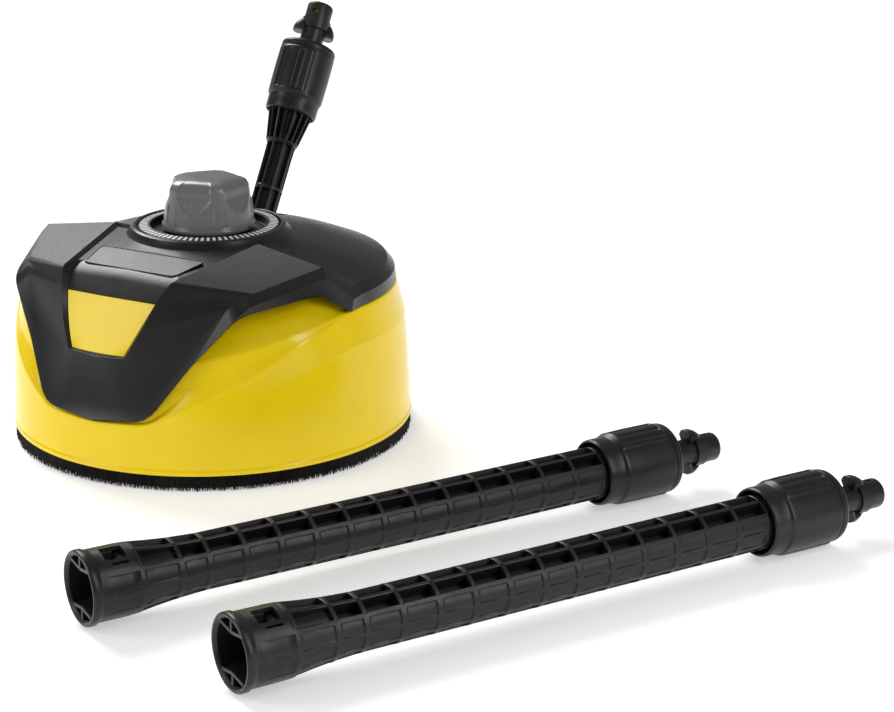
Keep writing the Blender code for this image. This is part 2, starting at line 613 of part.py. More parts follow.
def lance(head, tilt, turner):
    """The tilting lance on its pivot, leaning back from the cover."""
    base = box("pivot_yoke", (-20.0, PIVOT_Y - 12.0, HOOD_TOP + GAP), (20.0, PIVOT_Y + 8.0, 140.8), head,
               (BLACK, 0.5))
    cut(base, box("yoke_gap_cutter", (-14.3, PIVOT_Y - 20, 123.8), (14.3, PIVOT_Y + 20, 160), head))
    cut(base, lay(rod("yoke_feed_cutter", 5.3, 110, 140, 16, head, None), (0, PIVOT_Y, 0)))
    bore = rod("yoke_bore_cutter", 3.3, -30, 30, 12, head, None)
    cut(base, lay(bore, (0, PIVOT_Y, PIVOT_Z), "X"))
    lay(rod("pivot_pin", 3.0, -20.0, 20.0, 12, head, (STEEL, 0.25, 1.0)), (0, PIVOT_Y, PIVOT_Z), "X")

    body = [(10.6, 8.0, None), (10.6, 12.0, None), (10.6, 12.0, 0.72), (10.6, 35.0, 0.72),
            (10.6, 35.0, None), (10.6, 37.0, None), (10.6, 37.0, 0.72), (10.7, 65.0, 0.72),
            (12.3, 66.0, None), (12.9, 68.0, None), (12.9, 68.0, 0.8), (16.8, 92.0, 0.85),
            (16.9, 92.0, None), (16.9, 95.0, None), (13.0, 95.5, None), (13.0, 128.0, None)]
    bores = [(BORE, 128.0), (BORE, 8.0)]
    tube = ribbed_tube("lance_tube", body, bores, tilt, (BLACK, 0.45))
    barrel = lay(rod("lance_barrel_helper", 11.3, -13.6, 13.6, 20, tilt, None), (0, 0, 0), "X")
    combine(tube, barrel, "UNION")
    cut(tube, lay(rod("lance_pin_cutter", 5.3, -30, 30, 14, tilt, None), (0, 0, 0), "X"))
    for side, name in ((-1, "pivot_bush_left"), (1, "pivot_bush_right")):
        low, high = sorted((3.0 * side, 13.6 * side))
        bush = pipe(name, 5.0, 3.3, low, high, 14, tilt, (NATURAL, 0.4))
        lay(bush, (0, 0, 0), "X")
    pipe("lance_core_pipe", 4.2, 2.6, 14.0, 140.0, 12, tilt, (STEEL, 0.25, 1.0))
    turned_sleeve("lance_sleeve", 22.0, 55.5, 10.4, turner, (BLACK, 0.4))
    plug = spigot("lance_spigot", 128.3, LANCE_LENGTH, LANCE_LUG_TURN, tilt, (BLACK, 0.38))
    window = box("spigot_window_cutter", (-2.2, -20, LANCE_LENGTH - 9.6), (2.2, 0, LANCE_LENGTH - 6.6), tilt)
    turn = Matrix.Rotation(math.radians(38.0), 4, "Z")
    window.matrix_local = turn
    cut(plug, window)
    pipe("spigot_insert", 6.3, 3.2, LANCE_LENGTH - 14.5, LANCE_LENGTH - 0.8, 16, tilt, (YELLOW, 0.4))


def wand(number, place, turner):
    look = (BLACK, 0.45)
    half = RING_WIDTH / 2
    stations = [(MOUTH_RADIUS, 1.5, None), (MOUTH_RADIUS, 5.0, None), (22.2, 6.0, None), (22.2, 31.0, None),
                (21.6, 33.0, MOUTH_POCKET_FLOOR), (18.6, 57.0, MOUTH_POCKET_FLOOR), (19.0, 57.5, None),
                (18.8, 60.5, None), (18.2, 61.0, 1.1)]
    for k in range(RING_COUNT):
        centre = FIRST_RING + RING_PITCH * k
        stations += [(TUBE_RADIUS - 0.4, centre - half, 1.0), (TUBE_RADIUS, centre - half, None),
                     (TUBE_RADIUS, centre + half, None)]
        if k < RING_COUNT - 1:
            stations.append((TUBE_RADIUS - 0.4, centre + half, 1.0))
    end = FIRST_RING + RING_PITCH * (RING_COUNT - 1) + half
    stations += [(13.0, end + 1.0, None), (13.0, SLEEVE_START + PLUG_ROOT, None)]
    bores = [(BORE, SLEEVE_START + PLUG_ROOT), (BORE, 50.0), (13.6, 50.0), (13.6, 31.0), (19.6, 31.0), (19.6, 1.5),
             (21.0, 0.0), (22.4, 0.0)]
    ribbed_tube(f"wand_{number}_tube", stations, bores, place, look)
    coupler = [(12.5, 49.6), (12.5, 30.6), (18.2, 30.6), (18.2, 24.0), (16.5, 22.0), (10.6, 22.0),
               (10.6, 44.0), (BORE, 44.0), (BORE, 49.6)]
    turned(f"wand_{number}_coupler", coupler, 16, place, (BLACK, 0.5))
    pipe(f"wand_{number}_coupler_seal", 10.3, 5.2, 40.5, 43.7, 16, place, (RUBBER, 0.7))
    pipe(f"wand_{number}_core_pipe", 4.2, 2.6, 50.0, SLEEVE_START + 60.0, 12, place, (STEEL, 0.25, 1.0))
    turned_sleeve(f"wand_{number}_sleeve", SLEEVE_RADIUS, SLEEVE_LENGTH, 10.4, turner, (BLACK, 0.4))
    spigot(f"wand_{number}_spigot", SLEEVE_START + PLUG_ROOT + GAP, WAND_LENGTH, 0.0, place, look)


def along(heading):
    """Local +X up, local +Z along a level heading."""
    ahead = Vector((math.cos(heading), math.sin(heading), 0))
    up = Vector((0, 0, 1))
    return Matrix((up, ahead.cross(up), ahead)).transposed().to_4x4()


def child_empty(name, parent, at):
    holder = bpy.data.objects.new(name, None)
    bpy.context.collection.objects.link(holder)
    holder.parent = parent
    holder.location = Vector(at) * MM
    return holder


def main():
    for obj in list(bpy.data.objects):
        bpy.data.objects.remove(obj)
    head = empty("head", (HEAD_X, HEAD_Y, 0))
    hood_shell(head)
    brush(head)
    cover(head)
    scale_ring(head)
    screws(head)
    turner = child_empty("knob_axis", head, (0, 0, 0))
    slide = child_empty("lift_axis", head, (0, 0, 0))
    spin = child_empty("rotor_axis", slide, (0, 0, 0))
    knob(head, turner)
    carriage_group(head, slide)
    rotor(spin)
    tilt = empty("lance_pivot", (HEAD_X, HEAD_Y + PIVOT_Y, PIVOT_Z), Matrix.Rotation(-LEAN, 4, "X"))
    lance(head, tilt, child_empty("lance_sleeve_axis", tilt, (0, 0, 91.0)))
    for number, (x, y) in enumerate(WAND_MOUTHS, start=1):
        place = empty(f"wand_{number}_axis", (HEAD_X + x, HEAD_Y + y, WAND_AXIS_HEIGHT), along(WAND_HEADING))
        wand(number, place, child_empty(f"wand_{number}_sleeve_axis", place, (0, 0, SLEEVE_START)))


main()
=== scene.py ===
"""Looks of the patio surface cleaner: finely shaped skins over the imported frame, their materials,
a plain pale floor, studio light and the camera.  Lengths are in millimetres unless a name says
otherwise, and are scaled by MM.  The head's front faces -Y."""
import json
import math
import random

import bmesh
import bpy
import numpy as np
from mathutils import Matrix, Vector


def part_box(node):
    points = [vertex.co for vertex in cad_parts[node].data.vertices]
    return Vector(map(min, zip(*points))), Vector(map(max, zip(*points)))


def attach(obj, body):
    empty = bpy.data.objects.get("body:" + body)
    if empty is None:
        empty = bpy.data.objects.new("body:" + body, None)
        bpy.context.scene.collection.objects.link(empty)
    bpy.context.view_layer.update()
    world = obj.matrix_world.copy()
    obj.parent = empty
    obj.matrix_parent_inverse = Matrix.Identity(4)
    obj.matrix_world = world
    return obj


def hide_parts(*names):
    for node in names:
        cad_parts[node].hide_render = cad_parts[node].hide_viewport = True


MM = 0.001
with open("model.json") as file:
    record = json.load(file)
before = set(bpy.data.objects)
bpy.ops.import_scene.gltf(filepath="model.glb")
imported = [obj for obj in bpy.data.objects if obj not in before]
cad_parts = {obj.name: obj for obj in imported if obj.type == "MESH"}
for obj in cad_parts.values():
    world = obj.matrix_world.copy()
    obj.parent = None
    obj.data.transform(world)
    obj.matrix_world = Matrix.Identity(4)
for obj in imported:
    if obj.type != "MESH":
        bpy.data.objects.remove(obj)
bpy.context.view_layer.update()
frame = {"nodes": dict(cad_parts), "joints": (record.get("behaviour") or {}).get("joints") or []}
joints = {joint["name"]: joint for joint in frame["joints"]}

# ---- places, from the frame
RING_LOW, RING_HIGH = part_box("scale_ring")
HEAD_AT = Vector(((RING_LOW.x + RING_HIGH.x) / 2, (RING_LOW.y + RING_HIGH.y) / 2, 0))
HEAD = Matrix.Translation(HEAD_AT)


def turned_frame(origin, up_axis, ahead):
    """A place whose local Z runs along ahead and local X along up_axis."""
    ahead, up_axis = Vector(ahead).normalized(), Vector(up_axis).normalized()
    turn = Matrix((up_axis, ahead.cross(up_axis), ahead)).transposed().to_4x4()
    return Matrix.Translation(Vector(origin)) @ turn


LANCE = turned_frame(joints["lance_tilt"]["pos_m"], (1, 0, 0), joints["lance_sleeve_turn"]["axis"])
WANDS = {n: turned_frame(joints[f"wand_{n}_sleeve_turn"]["pos_m"], (0, 0, 1),
                         joints[f"wand_{n}_sleeve_turn"]["axis"]) for n in (1, 2)}


# ---- mesh helpers
def polar(radius, angle, height):
    """A point at an angle in degrees round from the front (-Y) towards +X."""
    turn = math.radians(angle)
    return (radius * math.sin(turn), -radius * math.cos(turn), height)


def ring_at(radius, turn, height):
    """A ring of points at angles in radians from local +Y towards +X."""
    return np.stack([radius * np.sin(turn), radius * np.cos(turn), np.full_like(turn, height)], axis=1)


def smooth(value):
    """0 below 0, 1 above 1, and a soft step between."""
    value = np.clip(value, 0, 1)
    return value * value * (3 - 2 * value)


def between(a, b, share):
    return tuple(p + (q - p) * share for p, q in zip(a, b))


def bend(start, corner, stop, steps):
    """Points on the short curve that replaces a corner."""
    shares = [i / steps for i in range(steps + 1)]
    return [start * (1 - t) ** 2 + corner * 2 * t * (1 - t) + stop * t * t for t in shares]


def cut_corner(before, corner, after, reach, steps):
    """The short curve for a corner of a line, starting and ending at a distance from it."""
    before, corner, after = Vector(before), Vector(corner), Vector(after)
    start = corner + (before - corner).normalized() * reach
    stop = corner + (after - corner).normalized() * reach
    return [tuple(point) for point in bend(start, corner, stop, steps)]


def shade(mesh, crease):
    """Smooth shading that breaks at folds sharper than crease, in degrees."""
    mesh.shade_smooth()
    mesh.set_sharp_from_angle(angle=math.radians(crease))


def mend(mesh, merge=0.0, change=None):
    """Merges close points, turns the faces outwards and makes a further change."""
    work = bmesh.new()
    work.from_mesh(mesh)
    if merge:
        bmesh.ops.remove_doubles(work, verts=work.verts, dist=merge)
    bmesh.ops.recalc_face_normals(work, faces=work.faces)
    if change:
        change(work)
    work.to_mesh(mesh)
    work.free()


def linked(name, data):
    """A new object in the scene."""
    obj = bpy.data.objects.new(name, data)
    bpy.context.collection.objects.link(obj)
    return obj


def bake(obj):
    """Replaces an object's mesh with what its modifiers make of it."""
    graph = bpy.context.evaluated_depsgraph_get()
    mesh = bpy.data.meshes.new_from_object(obj.evaluated_get(graph))
    obj.modifiers.clear()
    obj.data = mesh


def piece(name, points, faces, place, body, material, crease=35.0, stands_for=None, slot=None):
    """A mesh from points in millimetres in a local frame, riding on a body."""
    mesh = bpy.data.meshes.new(name)
    shift = np.array(place)
    world = (np.asarray(points, float) * MM) @ shift[:3, :3].T + shift[:3, 3]
    mesh.from_pydata(world.tolist(), [], [list(map(int, face)) for face in faces])
    mesh.validate()
    mend(mesh, 0.001 * MM)
    shade(mesh, crease)
    obj = linked(name, mesh)
    mesh.materials.append(material)
    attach(obj, body)
    if stands_for:
        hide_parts(stands_for)
    return obj


def bridge(rings, loop=False):
    """Points and quads through rings of equal length; loop joins the last ring to the first."""
    rings = np.asarray(rings, float)
    rows, count = rings.shape[:2]
    faces = []
    for k in range(rows if loop else rows - 1):
        here, after = k * count, (k + 1) % rows * count
        for i in range(count):
            j = (i + 1) % count
            faces.append((here + i, here + j, after + j, after + i))
    return rings.reshape(-1, 3), faces


def capped(rings):
    """A closed solid through rings of equal length, with a flat cap at each end."""
    points, faces = bridge(rings)
    count = len(rings[0])
    return points, faces + [tuple(range(count)), tuple(range(len(points) - count, len(points)))]


def block_faces(start=0):
    """Faces of a block whose eight points begin at an index: four below, four above."""
    sides = [(i, (i + 1) % 4, (i + 1) % 4 + 4, i + 4) for i in range(4)]
    return [tuple(start + k for k in quad) for quad in [(0, 1, 2, 3), (4, 5, 6, 7)] + sides]


def turned(name, outline, steps, place, body, material, shape=None, **rest):
    """A turned piece from a closed outline of (radius, height)."""
    angles = [360.0 * i / steps for i in range(steps)]
    rings = [[polar(shape(r, h, a) if shape else r, a, h) for a in angles] for r, h in outline]
    points, faces = bridge(rings, loop=True)
    return piece(name, points, faces, place, body, material, **rest)


def bevel(obj, width, segments=2, angle=28.0):
    """Rounds the edges sharper than an angle."""
    step = obj.modifiers.new("edges", "BEVEL")
    step.width = width * MM
    step.segments = segments
    step.limit_method = "ANGLE"
    step.angle_limit = math.radians(angle)
    step.harden_normals = True


def boolean(obj, other, operation="DIFFERENCE"):
    """Applies a Boolean at once and removes the helper."""
    step = obj.modifiers.new("cut", "BOOLEAN")
    step.operation = operation
    step.object = other
    bake(obj)
    bpy.data.objects.remove(other)


def helper(points, faces, place):
    """A closed solid used only for a Boolean."""
    mesh = bpy.data.meshes.new("helper")
    mesh.from_pydata([tuple(place @ (Vector(p) * MM)) for p in points], [], faces)
    mend(mesh)
    obj = linked("helper", mesh)
    bpy.context.view_layer.update()
    return obj


def rounded_loop(corners, radius, steps=5):
    """A closed flat outline with its corners rounded; corners are (x, y, z)."""
    line = []
    for before, corner, after in zip(corners[-1:] + corners, corners, corners[1:] + corners[:1]):
        line += cut_corner(before, corner, after, radius, steps)
    return line


def rounded_box(x0, x1, y0, y1, radius, steps=5, z=0.0):
    """A level rectangle with its corners rounded."""
    return rounded_loop([(x0, y0, z), (x1, y0, z), (x1, y1, z), (x0, y1, z)], radius, steps)


# ---- materials
EDGE_HIGHLIGHT_GAIN, EDGE_HIGHLIGHT_LIFT = 2.2, 0.02  # how much paler an edge is painted, as a painted highlight
MOTTLE_SCALE, GLOSS_SCALE = 38.0, 95.0  # noise in colour and in gloss
TOOL_MARKS = (1.0, 1.0, 9.0)  # how the noise on metal is stretched


def new_material(name):
    """A material with nodes, its node tree and its shader."""
    material = bpy.data.materials.new(name)
    material.use_nodes = True
    tree = material.node_tree
    return material, tree, tree.nodes["Principled BSDF"]


def set_inputs(tree, node, **values):
    """Sets a node's inputs, or links them where the value is another node's output."""
    for name, value in values.items():
        target = node.inputs[name.replace("_", " ")]
        if isinstance(value, bpy.types.NodeSocket):
            tree.links.new(value, target)
        else:
            target.default_value = value
    return node.outputs


def noise(tree, scale, detail=3.0, stretch=None):
    """A noise texture in the piece's own coordinates."""
    source = tree.nodes.new("ShaderNodeTexCoord").outputs["Object"]
    if stretch:
        source = set_inputs(tree, tree.nodes.new("ShaderNodeMapping"), Scale=stretch, Vector=source)["Vector"]
    texture = tree.nodes.new("ShaderNodeTexNoise")
    return set_inputs(tree, texture, Scale=scale, Detail=detail, Vector=source)["Fac"]


def ranged(tree, value, low, high, from_low=0.3, from_high=0.7):
    """A value stretched to run from low to high."""
    return set_inputs(tree, tree.nodes.new("ShaderNodeMapRange"), Value=value, From_Min=from_low,
                      From_Max=from_high, To_Min=low, To_Max=high)["Result"]


def mixed(tree, share, first, second):
    """A colour between two others."""
    node = tree.nodes.new("ShaderNodeMix")
    node.data_type = "RGBA"
    return set_inputs(tree, node, Factor=share, A=first, B=second)["Result"]


def grained(tree, shader, layers):
    """Bump from several noises; layers are (scale, height in metres)."""
    normal = None
    for scale, height in layers:
        bump = tree.nodes.new("ShaderNodeBump")
        normal_below = {"Normal": normal} if normal else {}
        normal = set_inputs(tree, bump, Strength=1.0, Distance=height, Height=noise(tree, scale, 2.0),
                            **normal_below)["Normal"]
    set_inputs(tree, shader, Normal=normal)


def moulded(name, dark, light, rough, grain, painted_edge_highlight=0.0, specular=0.33):
    """Moulded plastic: mottled colour, uneven gloss, fine grain and edges painted paler as a highlight."""
    material, tree, shader = new_material(name)
    share = ranged(tree, noise(tree, MOTTLE_SCALE, 4.0), 0.0, 1.0)
    colour = mixed(tree, share, (*dark, 1), (*light, 1))
    if painted_edge_highlight:
        # Sharp convex edges are painted paler: a painted highlight where the edges would catch the light.
        where = tree.nodes.new("ShaderNodeNewGeometry")
        edge = ranged(tree, where.outputs["Pointiness"], 0.0, painted_edge_highlight, 0.52, 0.62)
        colour = mixed(tree, edge, colour, (*[min(1.0, c * EDGE_HIGHLIGHT_GAIN + EDGE_HIGHLIGHT_LIFT) for c in light], 1))
    set_inputs(tree, shader, Base_Color=colour, Roughness=ranged(tree, noise(tree, GLOSS_SCALE), *rough),
               Specular_IOR_Level=specular)
    grained(tree, shader, grain)
    return material


def metal(name, dark, light, roughest):
    """Turned metal with fine tool marks."""
    material, tree, shader = new_material(name)
    share = ranged(tree, noise(tree, 60.0), 0.0, 1.0)
    gloss = ranged(tree, noise(tree, 900.0, 2.0, TOOL_MARKS), 0.22, roughest)
    set_inputs(tree, shader, Base_Color=mixed(tree, share, (*dark, 1), (*light, 1)), Roughness=gloss,
               Metallic=1.0)
    grained(tree, shader, [(1400.0, 0.00001)])
    return material


FINE_GRAIN = [(2600.0, 0.000035), (420.0, 0.00003)]
YELLOW = moulded("yellow_plastic", (0.98, 0.69, 0.004), (1.0, 0.73, 0.006), (0.16, 0.22),
                 [(160.0, 0.00002), (1500.0, 0.000003)], specular=0.32)
BLACK = moulded("black_plastic", (0.0098, 0.0090, 0.0088), (0.0112, 0.0104, 0.0102), (0.27, 0.30),
                FINE_GRAIN, painted_edge_highlight=0.22)
LATTICE = moulded("wand_plastic", (0.0085, 0.0085, 0.0087), (0.0120, 0.0120, 0.0122), (0.30, 0.40),
                  [(1800.0, 0.00002), (300.0, 0.00003)], painted_edge_highlight=0.25)
SATIN = moulded("sleeve_plastic", (0.0095, 0.0095, 0.0097), (0.0130, 0.0130, 0.0132), (0.30, 0.38),
                FINE_GRAIN, painted_edge_highlight=0.2)
INK = moulded("ring_plastic", (0.012, 0.012, 0.012), (0.017, 0.017, 0.017), (0.40, 0.50), FINE_GRAIN)
WHITE = moulded("tick_white", (0.84, 0.84, 0.83), (0.90, 0.90, 0.89), (0.35, 0.45), [(900.0, 0.00001)])
GREY = moulded("knob_plastic", (0.155, 0.155, 0.151), (0.170, 0.170, 0.166), (0.24, 0.28),
               [(900.0, 0.000015), (220.0, 0.00002)], specular=0.5)
set_inputs(GREY.node_tree, GREY.node_tree.nodes["Principled BSDF"], Subsurface_Weight=0.25,
           Subsurface_Scale=0.004)
BRISTLE = moulded("bristle_fibre", (0.006, 0.006, 0.006), (0.022, 0.022, 0.022), (0.45, 0.65),
                  [(1400.0, 0.00002)])
SEAL = moulded("seal_rubber", (0.010, 0.010, 0.010), (0.016, 0.016, 0.016), (0.5, 0.65), FINE_GRAIN)
NATURAL = moulded("bearing_plastic", (0.60, 0.60, 0.55), (0.70, 0.70, 0.66), (0.35, 0.5),
                  [(700.0, 0.00002)])
STEEL = metal("turned_steel", (0.50, 0.51, 0.53), (0.66, 0.67, 0.69), 0.38)
BRASS = metal("machined_brass", (0.62, 0.43, 0.18), (0.76, 0.56, 0.27), 0.36)


# ---- hood
# (radius, height) down the outside of the hood at some angles from the front.  The fourth entry
# is the upper crease and the sixth the lower crease; both run out to the cover's wing tips.
HOOD_PROFILES = {
    0.0: [(104, 121.5), (112, 118.5), (126.0, 102), (134.0, 86), (141.0, 45.0), (144.9, 44.4)],
    17.5: [(106, 121.5), (114, 118.5), (126.0, 102), (133.8, 86), (140.4, 47.3), (144.7, 46.5)],
    23.0: [(105, 121.5), (113, 118.5), (123.0, 102), (133.2, 86), (136.4, 62.0), (144.8, 53.4)],
    30.0: [(106, 121.5), (114, 118.5), (123.0, 103), (133.6, 88.5), (136.8, 73.5), (144.3, 61.0)],
    43.0: [(108, 121.5), (115, 118.5), (125.5, 107.5), (136.8, 95.0), (139.2, 84.5), (143.2, 75.7)],
    60.0: [(111, 121.5), (117, 118.5), (127.5, 113.0), (137.6, 103.8), (138.6, 100.2), (141.0, 97.2)],
    79.0: [(119, 121.5), (124, 118.5), (131.4, 112.2), (135.4, 111.9), (136.1, 111.5), (136.6, 110.9)],
    180.0: [(119, 121.5), (124, 118.5), (131.4, 112.2), (135.2, 111.9), (136.0, 111.5), (136.5, 110.9)],
}
RIM_RADIUS, RIM_HEIGHT = 146.5, 11.3
RIM_FLANGE = ((0.1, 3.6), (0.6, 2.8), (0.6, 0.5), (0.2, 0.0))  # out and up from the rim
FLANGE_TOP, WALL_FOOT = 4.2, 6.0  # heights above the rim
WALL_DRAFT = 0.043  # how far the wall leans in for each mm of height
SHOULDER_START, SHOULDER_SPAN, SHOULDER_DEPTH = 75.0, 37.0, 6.0
HOOD_STEPS = 288
CREASE_BLUR = 1.8  # degrees
CORNER_REACH = (2.0, 3.0, 2.6, 1.3, 1.5, 1.2)  # how far each corner of the profile is rounded
SPINDLE_HOLE, HOOD_WALL = 9.0, 3.0
DECK_RADII = (98.0, 60.0, SPINDLE_HOLE)  # across the flat top
DECK_LOW, DECK_HIGH = 118.5, 121.5  # its two sides


def wall_radius(height):
    """The plain wall of the hood: nearly upright, rounding over towards the top."""
    shoulder = np.maximum((height - SHOULDER_START) / SHOULDER_SPAN, 0)
    return RIM_RADIUS - WALL_DRAFT * (height - RIM_HEIGHT) - SHOULDER_DEPTH * shoulder ** 2


def smooth_profiles():
    """The profile's corners at every angle, blended smoothly between the given ones."""
    stops = sorted(HOOD_PROFILES)
    table = np.array([HOOD_PROFILES[stop] for stop in stops], float)
    angles = np.arange(HOOD_STEPS) * 360.0 / HOOD_STEPS
    side = np.minimum(angles, 360.0 - angles)
    spread = np.array([[np.interp(side, stops, table[:, k, c]) for c in (0, 1)]
                       for k in range(table.shape[1])])
    reach = np.arange(-6, 7)
    weights = np.exp(-0.5 * (reach * 360.0 / HOOD_STEPS / CREASE_BLUR) ** 2)
    weights /= weights.sum()
    blurred = sum(w * np.roll(spread, r, axis=2) for w, r in zip(weights, reach))
    return angles, blurred


def round_profile(corners):
    """A polyline with its inner corners replaced by short curves, and long runs divided."""
    line = [corners[0]]
    for k in range(1, len(corners) - 1):
        before, corner, after = corners[k - 1], corners[k], corners[k + 1]
        reach = CORNER_REACH[k] if k < len(CORNER_REACH) else 1.0
        back, ahead = before - corner, after - corner
        back_length, ahead_length = np.hypot(*back), np.hypot(*ahead)
        start = corner + back * min(reach / max(back_length, 1e-6), 0.45)
        stop = corner + ahead * min(reach / max(ahead_length, 1e-6), 0.45)
        previous = line[-1]
        line += [previous + (start - previous) * share for share in (1 / 3, 2 / 3)]
        line += bend(start, corner, stop, 4)
    return line + [corners[-1]]


def make_hood():
    """The yellow hood: its profile carried round the head, and its inside."""
    angles, table = smooth_profiles()
    lines = []
    for i in range(HOOD_STEPS):
        corners = [table[k, :, i] for k in range(table.shape[0])]
        low = corners[-1][1]
        for share in (0.75, 0.5, 0.25):
            height = RIM_HEIGHT + WALL_FOOT + (low - RIM_HEIGHT - WALL_FOOT) * share
            corners.append(np.array([wall_radius(height), height]))
        corners.append(np.array([wall_radius(RIM_HEIGHT + FLANGE_TOP), RIM_HEIGHT + FLANGE_TOP]))
        corners += [np.array([RIM_RADIUS + out, RIM_HEIGHT + up]) for out, up in RIM_FLANGE]
        outer = round_profile(corners)
        inner = [np.array([RIM_RADIUS - HOOD_WALL, RIM_HEIGHT])]
        inner += [corners[k] - np.array([HOOD_WALL, 0.0]) for k in (7, 5, 3, 1)]
        inner += [np.array([radius, DECK_LOW]) for radius in DECK_RADII]
        inner += [np.array([radius, DECK_HIGH]) for radius in reversed(DECK_RADII)]
        lines.append(outer + inner)
    rings = [[polar(line[k][0], a, line[k][1]) for line, a in zip(lines, angles)]
             for k in range(len(lines[0]))]
    points, faces = bridge(rings, loop=True)
    piece("hood", points, faces, HEAD, "head", YELLOW, 40.0, "hood_shell", "hood_yellow")


# ---- bristles
BRISTLE_ROWS = ((145.4, 1700), (144.0, 1500), (142.3, 1200))  # radius and number of filaments
BRISTLE_BACK, BRISTLE_CORE, BRISTLE_REACH = 137.2, 141.2, 146.4


def make_bristles():
    """A dense core ring and separate bent filaments round it."""
    rng = random.Random(41)
    core = [(BRISTLE_BACK, 0.8), (BRISTLE_CORE, 0.8), (BRISTLE_CORE, 11.2), (BRISTLE_BACK, 11.2)]
    turned("bristle_core", core, 180, HEAD, "head", BRISTLE, stands_for="bristle_ring",
           slot="brush_black")
    points, faces = [], []
    for radius, count in BRISTLE_ROWS:
        for i in range(count):
            angle = 360.0 * (i + rng.random()) / count
            top = radius + rng.uniform(-0.9, 0.3)
            foot = min(radius + rng.uniform(-0.8, 1.0), BRISTLE_REACH)
            lean = rng.gauss(0.0, 0.35)
            tip = rng.choice((0.0, 0.1, 0.3, 0.5, 0.9, 1.5))
            thick = rng.uniform(0.26, 0.42)
            rows = [(top, angle, 11.5, thick), ((top + foot) / 2, angle + lean * 0.4, 5.6, thick),
                    (foot, angle + lean, tip, thick * 0.6)]
            start = len(points)
            for r, a, h, t in rows:
                cx, cy, cz = polar(r, a, h)
                for k in range(3):
                    phase = math.radians(a + 120.0 * k)
                    points.append((cx + t * math.sin(phase), cy - t * math.cos(phase), cz))
            for level in (start, start + 3):
                for k in range(3):
                    j = (k + 1) % 3
                    faces.append((level + k, level + j, level + 3 + j, level + 3 + k))
            faces.append((start, start + 2, start + 1))
            faces.append((start + 6, start + 7, start + 8))
    piece("bristles", points, faces, HEAD, "head", BRISTLE, slot="brush_black")


# ---- cover
BIB = {  # the raised V-shaped bib, right-hand half
    "face": [(0, -143.5, 56), (36, -139, 58), (64, -120, 96), (90.5, -98, 131.5),
             (96, -88, 134.5), (121, -35, 145.0), (131, -15, 127.2)],
    "edge": [(0, -148, 47), (44, -141, 49.5), (69.5, -122, 88), (97, -104, 123.5),
             (101.5, -93, 128.5), (126, -38, 138.5), (137.5, -21, 120.5)],
    "lip": [(0, -144.8, 45.2), (42.5, -138.2, 48), (67.5, -120.5, 86.5), (95, -102.5, 120.5),
            (99.5, -92, 122.5), (123, -43, 127), (138, -24.5, 112.8)],
}
BIB_ROUNDING = {1: 12.0, 3: 8.0}
BIB_CURVE_POINTS = 5
COLLAR_FOOT_ANGLES = (0.0, 10.5, 21.0, 31.5, 42.0, 52.8, 63.6, 74.0)
WING_START, WING_STEPS = 83.0, 24
WING_RIMS = ((129.8, 127.0), (135.2, 120.5), (136.2, 112.8))  # radius and height behind the bib
WING_CROWN = ((0.35, 2.4), (0.7, 2.0))  # share of the way out, and how far it swells there
CHANNEL = {  # the sunk middle between the arms, right-hand half
    "plate_front": (44.8, -101, 140.6), "inlay_top": (38.4, -117, 127.5),
    "inlay_mid": (30.8, -127.2, 109.0), "inlay_low": (22.8, -134.6, 91.6),
    "arm_fold": (46.5, -110.5, 141.5), "arm_top": (41.2, -119.5, 129.8),
    "arm_mid": (33.2, -129.3, 109.3), "arm_low": (24.2, -136.2, 90.6),
    "arm_rear": (63, -29, 152.6), "wall_rear": (59.5, -29.5, 149.8),
}
CENTRE = {"plate_front": (0, -101, 141.4), "inlay_top": (0, -117.7, 127.5),
          "inlay_mid": (0, -128.0, 109.0), "inlay_low": (0, -136.6, 90.4), "arm_low": (0, -138.3, 89.4)}
ARM_SLOPE = (-0.83, 0.55)  # Y and Z of the direction out of the inlay
COVER_WALL = 2.4
SLOT_HALF, SLOT_AHEAD, SLOT_BEHIND = 14.2, 9.0, 44.0  # the lance's slot, from its hinge
PLATE_GAP, PLATE_ROUNDING = 0.15, 5.0
FOLD_ROUNDING, BROW_ROUNDING = 8.0, 8.0
COLLAR_STACK = ((8.9, 149.0), (41.8, 149.0), (42.2, 151.2), (52.2, 151.2), (52.6, 153.4), (54.6, 153.8),
                (56.2, 152.9), (58.0, 149.8), (60.0, 148.0))


def rounded(corners, reach):
    """A line with some inner corners replaced by short curves."""
    line = []
    for k, corner in enumerate(corners):
        if k in reach:
            line += cut_corner(corners[k - 1], corner, corners[k + 1], reach[k], BIB_CURVE_POINTS - 1)
        else:
            line.append(corner)
    return line


